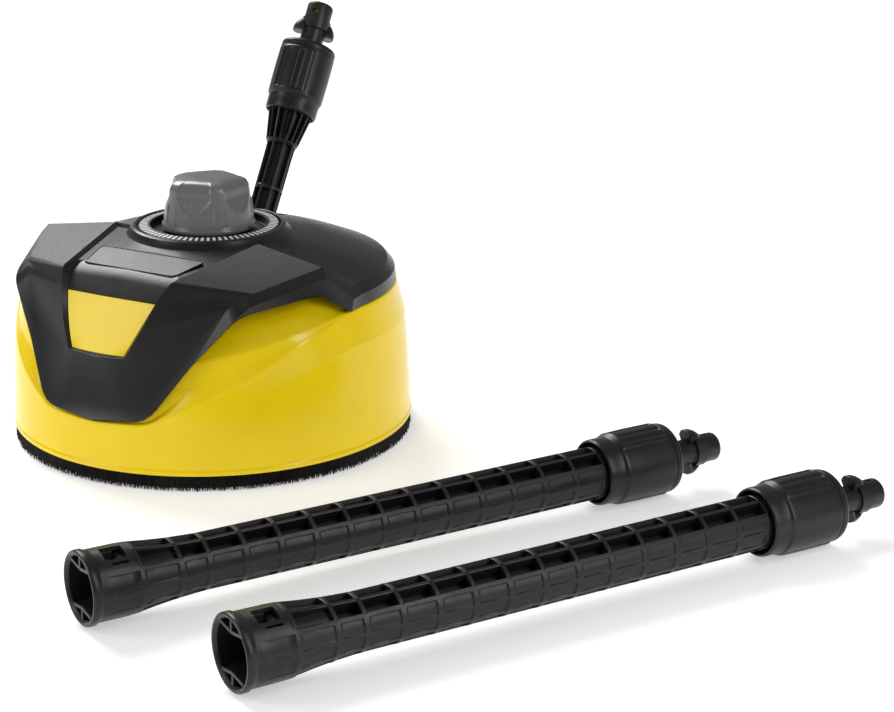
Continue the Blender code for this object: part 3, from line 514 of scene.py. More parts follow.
def cover_half():
    """Points and faces of the cover's outer surface, +X half."""
    points, index, faces = [], {}, []

    def at(point):
        key = tuple(round(float(value), 4) for value in point)
        if key not in index:
            index[key] = len(points)
            points.append(key)
        return index[key]

    def face(*corners):
        ids = [at(corner) for corner in corners]
        ids = [i for n, i in enumerate(ids) if i != ids[n - 1]]
        if len(ids) > 2:
            faces.append(ids)

    def fan(apex, line):
        for a, b in zip(line, line[1:]):
            face(apex, a, b)

    wing = [WING_START + (180.0 - WING_START) * i / WING_STEPS for i in range(WING_STEPS + 1)]
    around = list(COLLAR_FOOT_ANGLES) + wing
    levels = [[polar(radius, a, height) for a in around] for radius, height in COLLAR_STACK]
    for inner, outer in zip(levels, levels[1:]):
        for i in range(len(around) - 1):
            face(inner[i], inner[i + 1], outer[i + 1], outer[i])
    foot = levels[-1]
    f0, fa, f21, fb, f42, fc, f63, f74 = foot[:8]
    c, m = CHANNEL, CENTRE
    face(f0, fa, f21, c["plate_front"], m["plate_front"])
    face(f21, fb, f42, c["plate_front"])
    face(f42, fc, f63, c["wall_rear"], c["plate_front"])
    down = ("plate_front", "inlay_top", "inlay_mid", "inlay_low")
    for a, b in zip(down, down[1:]):
        face(m[a], c[a], c[b], m[b])
    inside = ("wall_rear",) + down
    arm = ("arm_rear", "arm_fold", "arm_top", "arm_mid", "arm_low")
    for a, b, near, far in zip(arm, arm[1:], inside, inside[1:]):
        face(c[near], c[a], c[b], c[far])
    face(m["inlay_low"], c["inlay_low"], c["arm_low"], m["arm_low"])

    top, edge, lip = [rounded(BIB[name], BIB_ROUNDING) for name in ("face", "edge", "lip")]
    for outer, lower in ((top, edge), (edge, lip)):
        for i in range(len(outer) - 1):
            face(outer[i], outer[i + 1], lower[i + 1], lower[i])
    n = BIB_CURVE_POINTS
    front, side = top[0], top[1 + n]
    curve, shoulder = top[1:1 + n], top[2 + n:2 + 2 * n]
    fold, peak, tip = top[2 + 2 * n], top[3 + 2 * n], top[4 + 2 * n]
    face(m["arm_low"], c["arm_low"], curve[0], front)
    fan(c["arm_low"], list(curve) + [side])
    face(c["arm_low"], side, shoulder[0], c["arm_mid"])
    face(c["arm_mid"], shoulder[0], shoulder[1], c["arm_top"])
    fan(c["arm_top"], shoulder[1:])
    face(c["arm_top"], shoulder[-1], fold, c["arm_fold"])
    face(c["arm_fold"], c["arm_rear"], peak, fold)
    face(c["arm_rear"], f74, tip, peak)
    face(f63, f74, c["arm_rear"])
    face(f63, c["arm_rear"], c["wall_rear"])
    rims = [[first] + [polar(radius, a, height) for a in wing[1:]]
            for first, (radius, height) in zip((tip, edge[-1], lip[-1]), WING_RIMS)]
    back = foot[8:]
    face(f74, back[0], tip)
    middle = []
    for share, swell in WING_CROWN:
        row = [between(a, b, share) for a, b in zip(back, rims[0])]
        middle.append([(x, y, z + swell * min(i / 5.0, 1.0)) for i, (x, y, z) in enumerate(row)])
    for inner, outer in zip([back] + middle + rims[:2], middle + rims):
        for i in range(len(back) - 1):
            face(inner[i], inner[i + 1], outer[i + 1], outer[i])
    return points, faces


def plate_outline(grow, lift):
    """The name plate's corners, in the plane of the sunk channel."""
    rear, front = (45.5, -67.4, 146.4), (39.5, -97.0, 141.7)
    slope = (rear[2] - front[2]) / (rear[1] - front[1])
    y0, y1 = rear[1] + grow, front[1] - grow
    z0, z1 = rear[2] + grow * slope + lift, front[2] - grow * slope + lift
    return [(-rear[0] - grow, y0, z0), (rear[0] + grow, y0, z0), (front[0] + grow, y1, z1),
            (-front[0] - grow, y1, z1)]


def inlay_grid(inset, lift, across=12, down=10):
    """Rows of points over the window between the arms, moved out along its slope."""
    keys = ("inlay_top", "inlay_mid", "inlay_low")
    sides = np.array([CHANNEL[k] for k in keys], float)
    middles = np.array([CENTRE[k] for k in keys], float)
    rows = []
    for i in range(down + 1):
        v = i / down
        basis = np.array([(1 - v) * (1 - 2 * v), 4 * v * (1 - v), v * (2 * v - 1)])
        side, middle = basis @ sides, basis @ middles
        height = side[2] - inset * (1 - 2 * v)
        row = []
        for j in range(across + 1):
            u = 2.0 * j / across - 1.0
            x = u * (side[0] - inset)
            y = middle[1] + (side[1] - middle[1]) * u * u
            row.append((x, y + ARM_SLOPE[0] * lift, height + ARM_SLOPE[1] * lift))
        rows.append(row)
    return rows


def slab(front_rows, back_rows):
    """A closed solid between two grids of points."""
    down, across = len(front_rows), len(front_rows[0])
    points = [p for row in front_rows + back_rows for p in row]
    shift = down * across
    faces = []
    for i in range(down - 1):
        for j in range(across - 1):
            a = i * across + j
            faces.append((a, a + 1, a + across + 1, a + across))
            faces.append((a + shift, a + across + shift, a + across + 1 + shift, a + 1 + shift))
    rim = list(range(across)) + [i * across + across - 1 for i in range(1, down)]
    rim += [(down - 1) * across + j for j in range(across - 2, -1, -1)]
    rim += [i * across for i in range(down - 2, 0, -1)]
    for a, b in zip(rim, rim[1:] + rim[:1]):
        faces.append((a, b, b + shift, a + shift))
    return points, faces


def soften_folds(work):
    """Turns the cover's outside up, then rounds the folds across each arm and above the inlay."""
    if sum(f.normal.z * f.calc_area() for f in work.faces) < 0:
        bmesh.ops.reverse_faces(work, faces=work.faces)

    def joins(edge, a, b):
        ends = [HEAD.inverted() @ vertex.co / MM for vertex in edge.verts]
        return any((p - Vector(a)).length < 0.3 and (q - Vector(b)).length < 0.3
                   for p, q in (ends, ends[::-1]))

    for reach, a, b in ((FOLD_ROUNDING, CHANNEL["arm_fold"], BIB["face"][4]),
                        (BROW_ROUNDING, CENTRE["plate_front"], CHANNEL["plate_front"])):
        mirrored = [(-x, y, z) for x, y, z in (a, b)]
        edges = [edge for edge in work.edges if joins(edge, a, b) or joins(edge, *mirrored)]
        bmesh.ops.bevel(work, geom=edges, offset=reach * MM, segments=5, profile=0.5, affect="EDGES",
                        clamp_overlap=True)


def make_cover():
    """The black cover: both halves, thickened, with the slot, the window and the plate's seat."""
    half, faces = cover_half()
    mirrored = [(-x, y, z) for x, y, z in half]
    count = len(half)
    both = faces + [[i + count for i in reversed(ids)] for ids in faces]
    shell = piece("cover", half + mirrored, both, HEAD, "head", BLACK, 30.0, "top_cover", "cover_black")
    mend(shell.data, 0.01 * MM, soften_folds)
    wall = shell.modifiers.new("wall", "SOLIDIFY")
    wall.thickness = COVER_WALL * MM
    wall.offset = -1.0
    wall.use_even_offset = True
    wall.thickness_clamp = 1.0
    bake(shell)
    hinge_y = joints["lance_tilt"]["pos_m"][1] / MM - HEAD_AT.y / MM
    slot = rounded_box(-SLOT_HALF, SLOT_HALF, hinge_y - SLOT_AHEAD, hinge_y + SLOT_BEHIND, 5.0, z=120.0)
    boolean(shell, helper(*capped([slot, [(x, y, 170.0) for x, y, _ in slot]]), HEAD))
    boolean(shell, helper(*slab(inlay_grid(0.0, 6.0), inlay_grid(0.0, -9.0)), HEAD))
    seat = [rounded_loop(plate_outline(PLATE_GAP, lift), PLATE_ROUNDING) for lift in (-0.8, 6.0)]
    boolean(shell, helper(*capped(seat), HEAD))
    shade(shell.data, 26.0)
    bevel(shell, 0.7, 3, 22.0)


def make_inlay():
    """The yellow inlay, a little smaller than its window and a little below the arms."""
    points, faces = slab(inlay_grid(0.35, -0.3), inlay_grid(0.35, -2.2))
    obj = piece("inlay", points, faces, HEAD, "head", YELLOW, 30.0, "front_inlay", "hood_yellow")
    bevel(obj, 0.5, 3)


def make_plate():
    """A thin raised frame round a blank panel."""
    section = ((0.0, -0.6), (0.0, 0.2), (-0.2, 0.4), (-0.8, 0.4), (-1.0, 0.2), (-1.15, -0.1))
    points, faces = capped([rounded_loop(plate_outline(grow, lift), PLATE_ROUNDING + grow)
                            for grow, lift in section])
    piece("blank_name_plate", points, faces, HEAD, "head", BLACK, 30.0, "name_plate", "trim_black")


# ---- tick ring
TICKS, TICK_SHARE = 72, 0.46
TICK_INNER, TICK_OUTER = 44.5, 50.4


def ring_height(radius):
    """The ring's face is slightly conical, higher towards the knob."""
    return 154.0 - 0.9 * (radius - 42.6) / 9.0


def make_scale_ring():
    """The ring under the knob and its plain tick marks."""
    outline = [(42.6, 151.5), (42.6, 153.6), (43.0, 154.0), (51.0, ring_height(51.0)), (51.6, 152.4),
               (51.6, 151.5)]
    turned("tick_ring", outline, 180, HEAD, "head", INK, stands_for="scale_ring", slot="trim_black")
    points, faces = [], []
    for i in range(TICKS):
        middle = 360.0 * i / TICKS
        half = 180.0 / TICKS * TICK_SHARE
        faces += block_faces(len(points))
        for lift in (-0.15, 0.14):
            for radius, side in ((TICK_INNER, -1), (TICK_INNER, 1), (TICK_OUTER, 1), (TICK_OUTER, -1)):
                points.append(polar(radius, middle + side * half, ring_height(radius) + lift))
    piece("scale_ticks", points, faces, HEAD, "head", WHITE, slot="trim_black")


# ---- knob
SCALLOPS, SCALLOP_TURN = 5, 14.0
SCALLOP_FOOT, SCALLOP_SINK = 166.5, 0.7
SCALLOP_HALF, SCALLOP_RISE = 27.0, 10.0  # degrees to each side, and the height of its round foot
KNOB_TOP, SKIRT = 188.8, 34.0
CONE_FOOT, CONE_RADIUS, CONE_TAPER = 157.0, 32.7, 0.12
CROWN_RADIUS = 28.0  # inside this the scallops fade out
RIB_OFFSETS = (-8.0, 9.5)  # two short ribs on each ridge, in degrees from its middle
RIB_RISE, RIB_WIDTH = 1.0, 2.0
POINTER_AT = 96.0


def knob_radius(radius, height, angle):
    """U-shaped finger scallops cut into a cone, and short ribs on the ridges between them."""
    if radius < 12.0 or height < 156.0:
        return radius
    pitch = 360.0 / SCALLOPS
    off = (angle - SCALLOP_TURN + pitch / 2) % pitch - pitch / 2
    half = SCALLOP_HALF * math.sqrt(min(max((height - SCALLOP_FOOT) / SCALLOP_RISE, 0.0), 1.0))
    if abs(off) < half:
        flat = radius * (1.0 - math.cos(math.radians(half)) / math.cos(math.radians(off)))
        share = smooth((half - abs(off)) / 3.0) * min(radius / CROWN_RADIUS, 1.0) ** 2
        radius -= flat * min(radius / CROWN_RADIUS, 1.0) ** 2 + SCALLOP_SINK * share
    ridge = (angle - SCALLOP_TURN) % pitch - pitch / 2
    rise = smooth((height - 157.5) / 1.5) * smooth((173.0 - height) / 3.0)
    for offset in RIB_OFFSETS:
        radius += RIB_RISE * rise * smooth(1.0 - abs(ridge - offset) / RIB_WIDTH)
    return radius


def make_knob():
    """The grey knob, hollow below, and the small pointer on its skirt."""
    outer = [(SKIRT - 0.4, 152.0), (SKIRT, 152.5), (SKIRT, 154.8), (SKIRT - 0.6, 155.5), (32.9, 156.2)]
    for i in range(29):
        height = CONE_FOOT + i * 0.9
        outer.append((CONE_RADIUS - CONE_TAPER * (height - CONE_FOOT), height))
    outer += [(29.2, 182.9), (28.6, 184.3), (27.5, 185.6), (25.7, 186.7), (23.0, 187.6), (19.0, 188.2),
              (14.0, 188.6), (6.0, KNOB_TOP), (0.05, KNOB_TOP)]
    inner = [(0.05, 154.4), (11.0, 154.4), (11.0, 182.0), (23.0, 181.5), (30.0, 152.4),
             (SKIRT - 0.9, 152.0)]
    turned("knob_grip", outer + inner, 360, HEAD, "knob", GREY, knob_radius, crease=45.0,
           stands_for="adjusting_knob", slot="knob_grey")
    shape = ((34.2, -5.0), (34.2, 5.0), (40.5, 0.8), (40.5, -0.8))
    points = [polar(radius, POINTER_AT + off, height) for height in (154.5, 155.6) for radius, off in shape]
    pointer = piece("knob_pointer", points, block_faces(), HEAD, "knob", GREY, slot="knob_grey")
    bevel(pointer, 0.3, 2)


# ---- lattice tubes
EDGE, WALL, CHAMFER = 0.45, 0.15, 0.32  # a rib's rounded edge and the slope of its wall
BELOW = 60.0  # deeper than any pocket


def rib(distance, half):
    """How far a rib's surface lies below its top, at a distance from its middle line."""
    return np.interp(np.abs(distance), [half - EDGE, half, half + WALL], [0.0, CHAMFER, BELOW])


def around_rib(middle, half):
    """Stations that follow one rib's section."""
    return [middle - half - WALL, middle - half, middle - half + EDGE, middle + half - EDGE, middle + half,
            middle + half + WALL]


def lattice(name, angles, stations, radius, inner, place, body):
    """A skin of radius(angle, s) over sorted angles and stations, closed by a bore.
    Angle 0 is local +Y and 90 local +X."""
    angles = np.array(sorted(set(np.round(np.asarray(angles) % 360.0, 3))))
    stations = sorted(set(np.round(stations, 3)))
    turn = np.radians(angles)
    rings = [ring_at(radius(angles, s), turn, s) for s in stations] + [ring_at(r, turn, s) for r, s in inner]
    points, faces = bridge(rings, loop=True)
    return piece(name, points, faces, place, body, LATTICE, 33.0, f"{body}_tube",
                 body.split("_")[0] + "_black")


FIRST_RING, RING_PITCH, RING_COUNT, RING_HALF = 79.0, 24.35, 13, 1.45
RINGS = [33.0, 60.0] + [FIRST_RING + RING_PITCH * k for k in range(RING_COUNT)]
LATTICE_END = RINGS[-1] + RING_HALF
SLEEVE_START, SLEEVE_LENGTH, SLEEVE_RADIUS, WAND_LENGTH = 371.5, 60.0, 25.0, 474.0
RIDGE_LEVELS = (36.0, 72.0)  # long ribs, in degrees above or below level
RIDGE_HALF, RIDGE_EDGE, RIDGE_WALL = 4.0, 1.5, 0.5  # degrees
PANEL_EDGE = RIDGE_LEVELS[0] - RIDGE_HALF
BARREL_END = 31.5
POCKET_FLOOR, MOUTH_POCKET_FLOOR = 9.6, 15.6
BARREL_HOLES = (((13.0, 27.0), (59.0, 90.0)), ((16.0, 27.0), (48.0, 52.5)))  # along, and degrees up
SIDE_PANELS = ((17.0, 14.6, 0.75), (-17.3, 14.2, 0.95))  # middle, half width in degrees, depth
SMALL_BORE, MOUTH_BORE, BARREL_BORE = 4.5, 13.6, 19.6


def wand_envelope(s):
    """The wand's outer radius: a lipped barrel, a flare and the plain tube."""
    return np.interp(s, [0.0, 0.6, 1.4, 4.6, 5.6, 6.4, 26.0, 33.0, 45.0, 60.0, 79.0, 400.0],
                     [22.6, 23.3, 23.5, 23.5, 22.9, 22.4, 22.3, 22.0, 20.4, 18.9, 17.85, 17.8])


def rounded_inside(x, y, half_x, half_y, corner):
    """Distance inside a box with rounded corners, 0 at its border."""
    qx, qy = np.abs(x) - (half_x - corner), np.abs(y) - (half_y - corner)
    outside = np.hypot(np.maximum(qx, 0), np.maximum(qy, 0))
    return corner - outside - np.minimum(np.maximum(qx, qy), 0)


def side_panel(signed, s, middle, half_bay, full):
    """Depth of the two shallow panels on a wand's side, above and below a thin lip."""
    per_degree = full * math.pi / 180.0
    depth = 0.0
    for centre, half, deepest in SIDE_PANELS:
        inside = rounded_inside(s - middle, (signed - centre) * per_degree, half_bay - RING_HALF - 0.3,
                                half * per_degree, 1.6)
        depth = depth + deepest * np.clip(inside / 0.55, 0, 1)
    return depth


def wand_radius(angles, s):
    """The wand's skin: pockets above and below, panels at the sides, long ribs and rings."""
    full = wand_envelope(s)
    if s < 8.0 or s > LATTICE_END:
        return np.full_like(angles, full)
    signed = np.degrees(np.arcsin(np.clip(np.sin(np.radians(angles)), -1, 1)))
    level = np.abs(signed)  # degrees above or below level, the same on both sides
    if s < BARREL_END:
        fade = np.clip((s - 10.0) / 6.0, 0, 1)
        band = np.clip((PANEL_EDGE - level) / 1.2, 0, 1) * np.clip((level - 1.4) / 0.6, 0, 1)
        return full - fade * 0.45 * band * np.clip((BARREL_END - s) / 0.6, 0, 1)
    before = max([r for r in RINGS if r < s], default=8.0)
    ahead = min([r for r in RINGS if r >= s], default=LATTICE_END)
    skin = full - side_panel(signed, s, (before + ahead) / 2, (ahead - before) / 2, full)
    floor = MOUTH_POCKET_FLOOR if s < RINGS[1] else POCKET_FLOOR
    skin = np.where(level > RIDGE_LEVELS[0], floor, skin)
    steps = [RIDGE_HALF - RIDGE_EDGE, RIDGE_HALF, RIDGE_HALF + RIDGE_WALL]
    drops = [np.interp(np.abs(level - ridge), steps, [0.0, CHAMFER, BELOW]) for ridge in RIDGE_LEVELS]
    drops += [np.full_like(angles, rib(s - r, RING_HALF)) for r in RINGS if abs(r - s) < 6.0]
    return np.maximum(skin, full - np.minimum.reduce(drops))


def lattice_angles():
    """Angles of the wand's skin: the edges of every long rib, of the panels and of their lip."""
    result = []
    rib_edges = (0.0, RIDGE_HALF - RIDGE_EDGE, RIDGE_HALF, RIDGE_HALF + RIDGE_WALL)
    panel_edges = (0.0, 1.2, 2.2, 3.3, 4.8, 7.0, 12.0, 17.0, 22.0, 26.0, 28.5, 30.0, 31.3)
    for base in (0.0, 180.0):
        result += [base + side * off for off in panel_edges for side in (-1, 1)]
        for ridge in RIDGE_LEVELS:
            result += [base + side * ridge + turn * off for off in rib_edges for side in (-1, 1)
                       for turn in (-1, 1)]
        pocket_angles = (44.0, 49.0, 54.0, 59.0, 64.0, 80.0, 90.0)
        result += [base + side * off for off in pocket_angles for side in (-1, 1)]
    return result


def wand_stations():
    """Stations of the wand's skin: the lip, every ring and the panels' ends."""
    result = [0.0, 0.3, 0.6, 1.0, 1.4, 4.6, 5.2, 5.6, 6.4, 8.0, 10.0, 13.0, 16.0, 20.0, 26.0, 30.8,
              LATTICE_END + 0.15]
    for r in RINGS:
        result += around_rib(r, RING_HALF)
    for a, b in zip(RINGS, RINGS[1:]):
        low, high = a + RING_HALF, b - RING_HALF
        for inward in (0.35, 0.65, 1.1, 1.8):
            result += [low + inward, high - inward]
        result.append((low + high) / 2)
    return [s for s in result if s <= LATTICE_END + 0.15]


def wall_cutter(along, sides, turn, place, corner):
    """A closed block with rounded corners that passes through a wand's wall."""
    outline = [(math.radians(a + turn), s) for a, s, _ in rounded_box(*sides, *along, corner, 4)]
    ends = [[(radius * math.sin(a), radius * math.cos(a), s) for a, s in outline] for radius in (18.9, 26.0)]
    return helper(*capped(ends), place)


WEB_THICK, WEB_DEPTHS = 2.2, (1.2, 21.6)


def make_webs(number):
    """The two shallow V webs across the mouth, above and below, each with a gusset to the rim."""
    points, faces = [], []

    def bar(a, b):
        """A flat bar from a to b in the mouth's plane, (up, side)."""
        along = (Vector(b) - Vector(a)).normalized()
        out = Vector((-along.y, along.x)) * WEB_THICK / 2
        faces.extend(block_faces(len(points)))
        for depth in WEB_DEPTHS:
            for point, sign in ((a, 1), (b, 1), (b, -1), (a, -1)):
                points.append((point[0] + out.x * sign, point[1] + out.y * sign, depth))

    for up in (-1, 1):
        for side in (-1, 1):
            bar((12.6 * up, 0.0), (14.6 * up, 13.4 * side))
        bar((12.4 * up, 0.0), (19.9 * up, 0.0))
    obj = piece(f"wand_{number}_mouth_webs", points, faces, WANDS[number], f"wand_{number}", LATTICE,
                slot="wand_black")
    bevel(obj, 0.35, 2)


# ---- sleeves and plugs
SLEEVE_STEPS = 240
GRIP_FRAME = 30.0  # degrees from a grip's middle line
GRIP_SECTION = (  # degrees from that line, and height above the sleeve
    (0, 0.8), (6.5, 0.8), (8.0, 0.5), (10.0, -1.2), (12.0, -1.2), (17.0, 0.8), (18.5, 0.8), (20.5, 0.5),
    (22.5, -1.2), (28.0, -1.2), (29.5, 0.55), (31.5, 0.8), (33.5, 0.75), (37.0, 0.5), (40.0, 0.0), (90, 0.0))
SLEEVE_PROFILE = (  # share of the length, and drop from the full radius
    (0.0, -3.2), (0.012, -2.7), (0.035, -2.45), (0.19, -2.35), (0.205, -2.1), (0.225, -1.3), (0.25, -1.05),
    (0.5, -0.75), (0.86, -0.85), (0.885, -1.0), (0.893, -1.7), (0.901, -1.7), (0.912, -1.1), (0.95, -1.05),
    (0.975, -1.6), (0.99, -2.4), (1.0, -3.6))
SLEEVE_STATIONS = (  # shares of the length
    0.0, 0.005, 0.012, 0.022, 0.035, 0.1, 0.19, 0.205, 0.215, 0.225, 0.235, 0.245, 0.255, 0.265, 0.275,
    0.285, 0.295, 0.31, 0.4, 0.5, 0.6, 0.7, 0.8, 0.83, 0.837, 0.844, 0.851, 0.86, 0.868, 0.876,
    0.885, 0.893, 0.901, 0.912, 0.93, 0.95, 0.963, 0.975, 0.983, 0.99, 1.0)
SLEEVE_WALL, SLEEVE_HOLE = 4.4, 10.4


def sleeve_radius(off, t, outer):
    """off: degrees from the nearest grip's middle line; t: share of the length from the open end."""
    base = np.interp(t, *zip(*SLEEVE_PROFILE)) + outer
    rise = smooth((t - 0.215) / 0.06) * smooth((0.885 - t) / 0.03)
    heights = np.interp(off, *zip(*GRIP_SECTION))
    frame_ends = np.clip((0.29 - t) / 0.015, 0, 1) + np.clip((t - 0.835) / 0.015, 0, 1)
    framed = np.where(off < GRIP_FRAME, np.maximum(heights, 0.75 * np.clip(frame_ends, 0, 1)), heights)
    return base + rise * framed


def make_sleeve(owner, place, start, length, outer, grip_at):
    """The locking sleeve of a wand or the lance; grip_at: the angle of one grip's middle line."""
    angles = grip_at + np.arange(SLEEVE_STEPS) * 360.0 / SLEEVE_STEPS
    off = (angles - grip_at) % 180.0
    off = np.minimum(off, 180.0 - off)
    turn = np.radians(angles)
    inside = outer - SLEEVE_WALL
    inner = [(SLEEVE_HOLE + 2.5, length), (SLEEVE_HOLE, length - 0.6), (SLEEVE_HOLE, length - 4.0),
             (inside, length - 6.5), (inside, 0.6), (inside + 0.3, 0.0)]
    rings = [ring_at(sleeve_radius(off, t, outer), turn, start + t * length) for t in SLEEVE_STATIONS]
    rings += [ring_at(r, turn, start + s) for r, s in inner]
    points, faces = bridge(rings, loop=True)
    piece(f"{owner}_grip", points, faces, place, f"{owner}_lock", SATIN, 40.0, f"{owner}_sleeve",
          "sleeve_black")


LUG_SECTIONS = (  # along, top radius, degrees to each side
    (0.0, 15.6, 32.0), (0.5, 16.0, 33.5), (3.4, 16.0, 33.5), (6.4, 14.9, 32.0), (9.0, 13.2, 29.0),
    (10.8, 11.4, 25.0))
LUG_ROOT, LUG_STEPS = 8.2, 11
LUG_BACK = 25.0  # from the tip back to the lug
PLUG_PROFILE = (  # radius, and distance back from the tip
    (9.4, 34.0), (8.9, 29.0), (8.9, 21.6), (9.4, 21.0), (11.0, 20.6), (11.0, 12.9), (9.9, 12.4), (9.9, 2.2),
    (9.6, 1.3), (8.7, 0.3), (8.2, 0.0), (6.9, 0.0), (6.6, 0.4), (6.6, 15.0), (SMALL_BORE, 15.0))


def lug_block(angle, start):
    """A crescent lug: tall on the sleeve's side, sloping down towards the tip."""
    rings = []
    for s, top, half in LUG_SECTIONS:
        across = [2.0 * i / LUG_STEPS - 1.0 for i in range(LUG_STEPS + 1)]
        turns = [math.radians(angle + half * share) for share in across]
        edges = [1.0 - abs(share) ** 3 * 0.16 for share in across]
        rings.append([(top * edge * math.sin(a), top * edge * math.cos(a), start + s)
                      for a, edge in zip(turns, edges)])
        rings[-1] += [(LUG_ROOT * math.sin(a), LUG_ROOT * math.cos(a), start + s) for a in reversed(turns)]
    return capped(rings)


def make_spigot(owner, place, start, tip, lug_at, window_at):
    """The plug: a waisted neck, a locking band with two lugs, and a windowed nose."""
    outline = [(13.0, start), (13.0, start + 5.0), (9.6, start + 5.4)]
    outline += [(r, tip - back) for r, back in PLUG_PROFILE] + [(SMALL_BORE, start)]
    turn = np.radians(np.arange(72) * 5.0)
    points, faces = bridge([ring_at(r, turn, s) for r, s in outline], loop=True)
    plug = piece(f"{owner}_plug", points, faces, place, owner, SATIN, 35.0, f"{owner}_spigot",
                 owner.split("_")[0] + "_black")
    for side in (0.0, 180.0):
        boolean(plug, helper(*lug_block(lug_at + side, tip - LUG_BACK), place), "UNION")
    window = rounded_box(-2.4, 2.4, tip - 9.4, tip - 6.4, 1.3, 4)
    up, out = math.cos(math.radians(window_at)), math.sin(math.radians(window_at))
    ends = [[(-up * x + out * depth, out * x + up * depth, s) for x, s, _ in window]
            for depth in (5.0, 15.0)]
    boolean(plug, helper(*capped(ends), place))
    shade(plug.data, 33.0)
    bevel(plug, 0.25, 2, 32.0)


# ---- lance
LANCE_ROOT, LANCE_FLARE, LANCE_FLARE_END = 8.0, 67.0, 93.0
LANCE_RINGS, LANCE_RING_HALF = (30.5, LANCE_FLARE, 9.6), 1.5
HINGE_HALF, HINGE_RADIUS, HINGE_BORE = 13.6, 11.3, 5.3
LANCE_GRIP_AT, LANCE_LUG_AT, LANCE_WINDOW_AT = 170.0, 50.0, 165.0
LANCE_SLEEVE = (91.0, 55.5, 22.0)  # start, length and radius
LANCE_PLUG_START, LANCE_TIP = 128.3, 180.5


def lance_envelope(s):
    """The lance's outer radius: a slim stem that flares into the sleeve."""
    return np.interp(s, [8.0, 65.0, 68.5, 92.0, 95.0], [10.6, 10.8, 12.6, 16.9, 16.9])


def lance_radius(angles, s):
    """The lance's skin: eight long ribs on the stem, sixteen on the flare, and rings."""
    full = lance_envelope(s)
    if s > LANCE_FLARE_END:
        return np.full_like(angles, full)
    per_degree = full * math.pi / 180.0
    if s < LANCE_FLARE:
        pitch, half, floor = 45.0, 1.0, 7.4
    else:
        pitch, half, floor = 22.5, 0.95, full - 4.6
    off = (angles + pitch / 2) % pitch - pitch / 2
    ribs = [rib(off * per_degree, half)]
    ribs += [np.full_like(angles, rib(s - r, LANCE_RING_HALF)) for r in LANCE_RINGS if abs(r - s) < 6.0]
    if s > LANCE_FLARE_END - 4.0:
        ribs.append(np.full_like(angles, rib(s - LANCE_FLARE_END - 0.6, 2.6)))
    return np.maximum(floor, full - np.minimum.reduce(ribs))


def across_hinge(half, radius, steps):
    """A round bar along the lance's hinge."""
    turns = [2 * math.pi * i / steps for i in range(steps)]
    ends = [[(x, radius * math.cos(a), radius * math.sin(a)) for a in turns] for x in (-half, half)]
    return helper(*capped(ends), LANCE)


def make_lance():
    """The lance: ribbed tube with a bored hinge barrel, locking sleeve and plug."""
    angles = []
    for k in range(16):
        middle = 22.5 * k
        for off in (0.0, 2.2, 4.0, 5.2, 6.0):
            angles += [middle - off, middle + off]
        angles += [middle + 8.5, middle + 11.25, middle - 8.5]
    stations = [LANCE_ROOT, 10.0, 14.0, 24.0, 45.0, 55.0, 72.0, 78.0, 84.0, 88.0, 89.5, 91.0, 95.0]
    for r in LANCE_RINGS:
        stations += [s for s in around_rib(r, LANCE_RING_HALF) if s >= LANCE_ROOT]
    inner = [(13.0, 95.3), (13.0, 128.0), (SMALL_BORE, 128.0), (SMALL_BORE, LANCE_ROOT)]
    tube = lattice("lance_body", angles, stations, lance_radius, inner, LANCE, "lance")
    boolean(tube, across_hinge(HINGE_HALF, HINGE_RADIUS, 48), "UNION")
    boolean(tube, across_hinge(20.0, HINGE_BORE, 32))
    shade(tube.data, 33.0)
    make_sleeve("lance", LANCE, *LANCE_SLEEVE, LANCE_GRIP_AT)
    make_spigot("lance", LANCE, LANCE_PLUG_START, LANCE_TIP, LANCE_LUG_AT, LANCE_WINDOW_AT)


WAND_GRIP_AT, WAND_LUG_AT, WAND_WINDOW_AT = 90.0, 90.0, 98.0


def make_wand(number):
    """One wand: lattice tube with a mouth, webs, locking sleeve and plug."""
    place, body = WANDS[number], f"wand_{number}"
    plug_start = SLEEVE_START + 44.3
    inner = [(13.0, LATTICE_END + 1.0), (13.0, plug_start - 0.3), (SMALL_BORE, plug_start - 0.3),
             (SMALL_BORE, 50.0), (MOUTH_BORE, 50.0), (MOUTH_BORE, BARREL_END), (BARREL_BORE, BARREL_END),
             (BARREL_BORE, 2.0), (20.4, 0.9), (21.2, 0.2), (21.9, 0.0)]
    tube = lattice(f"{body}_lattice", lattice_angles(), wand_stations(), wand_radius, inner, place, body)
    for along, sides in BARREL_HOLES:
        corner = min(1.6, (sides[1] - sides[0]) * 0.4)
        for turn in (0.0, 180.0):
            boolean(tube, wall_cutter(along, sides, turn, place, corner))
    shade(tube.data, 33.0)
    make_webs(number)
    make_sleeve(body, place, SLEEVE_START, SLEEVE_LENGTH, SLEEVE_RADIUS, WAND_GRIP_AT)
    make_spigot(body, place, plug_start, WAND_LENGTH, WAND_LUG_AT, WAND_WINDOW_AT)


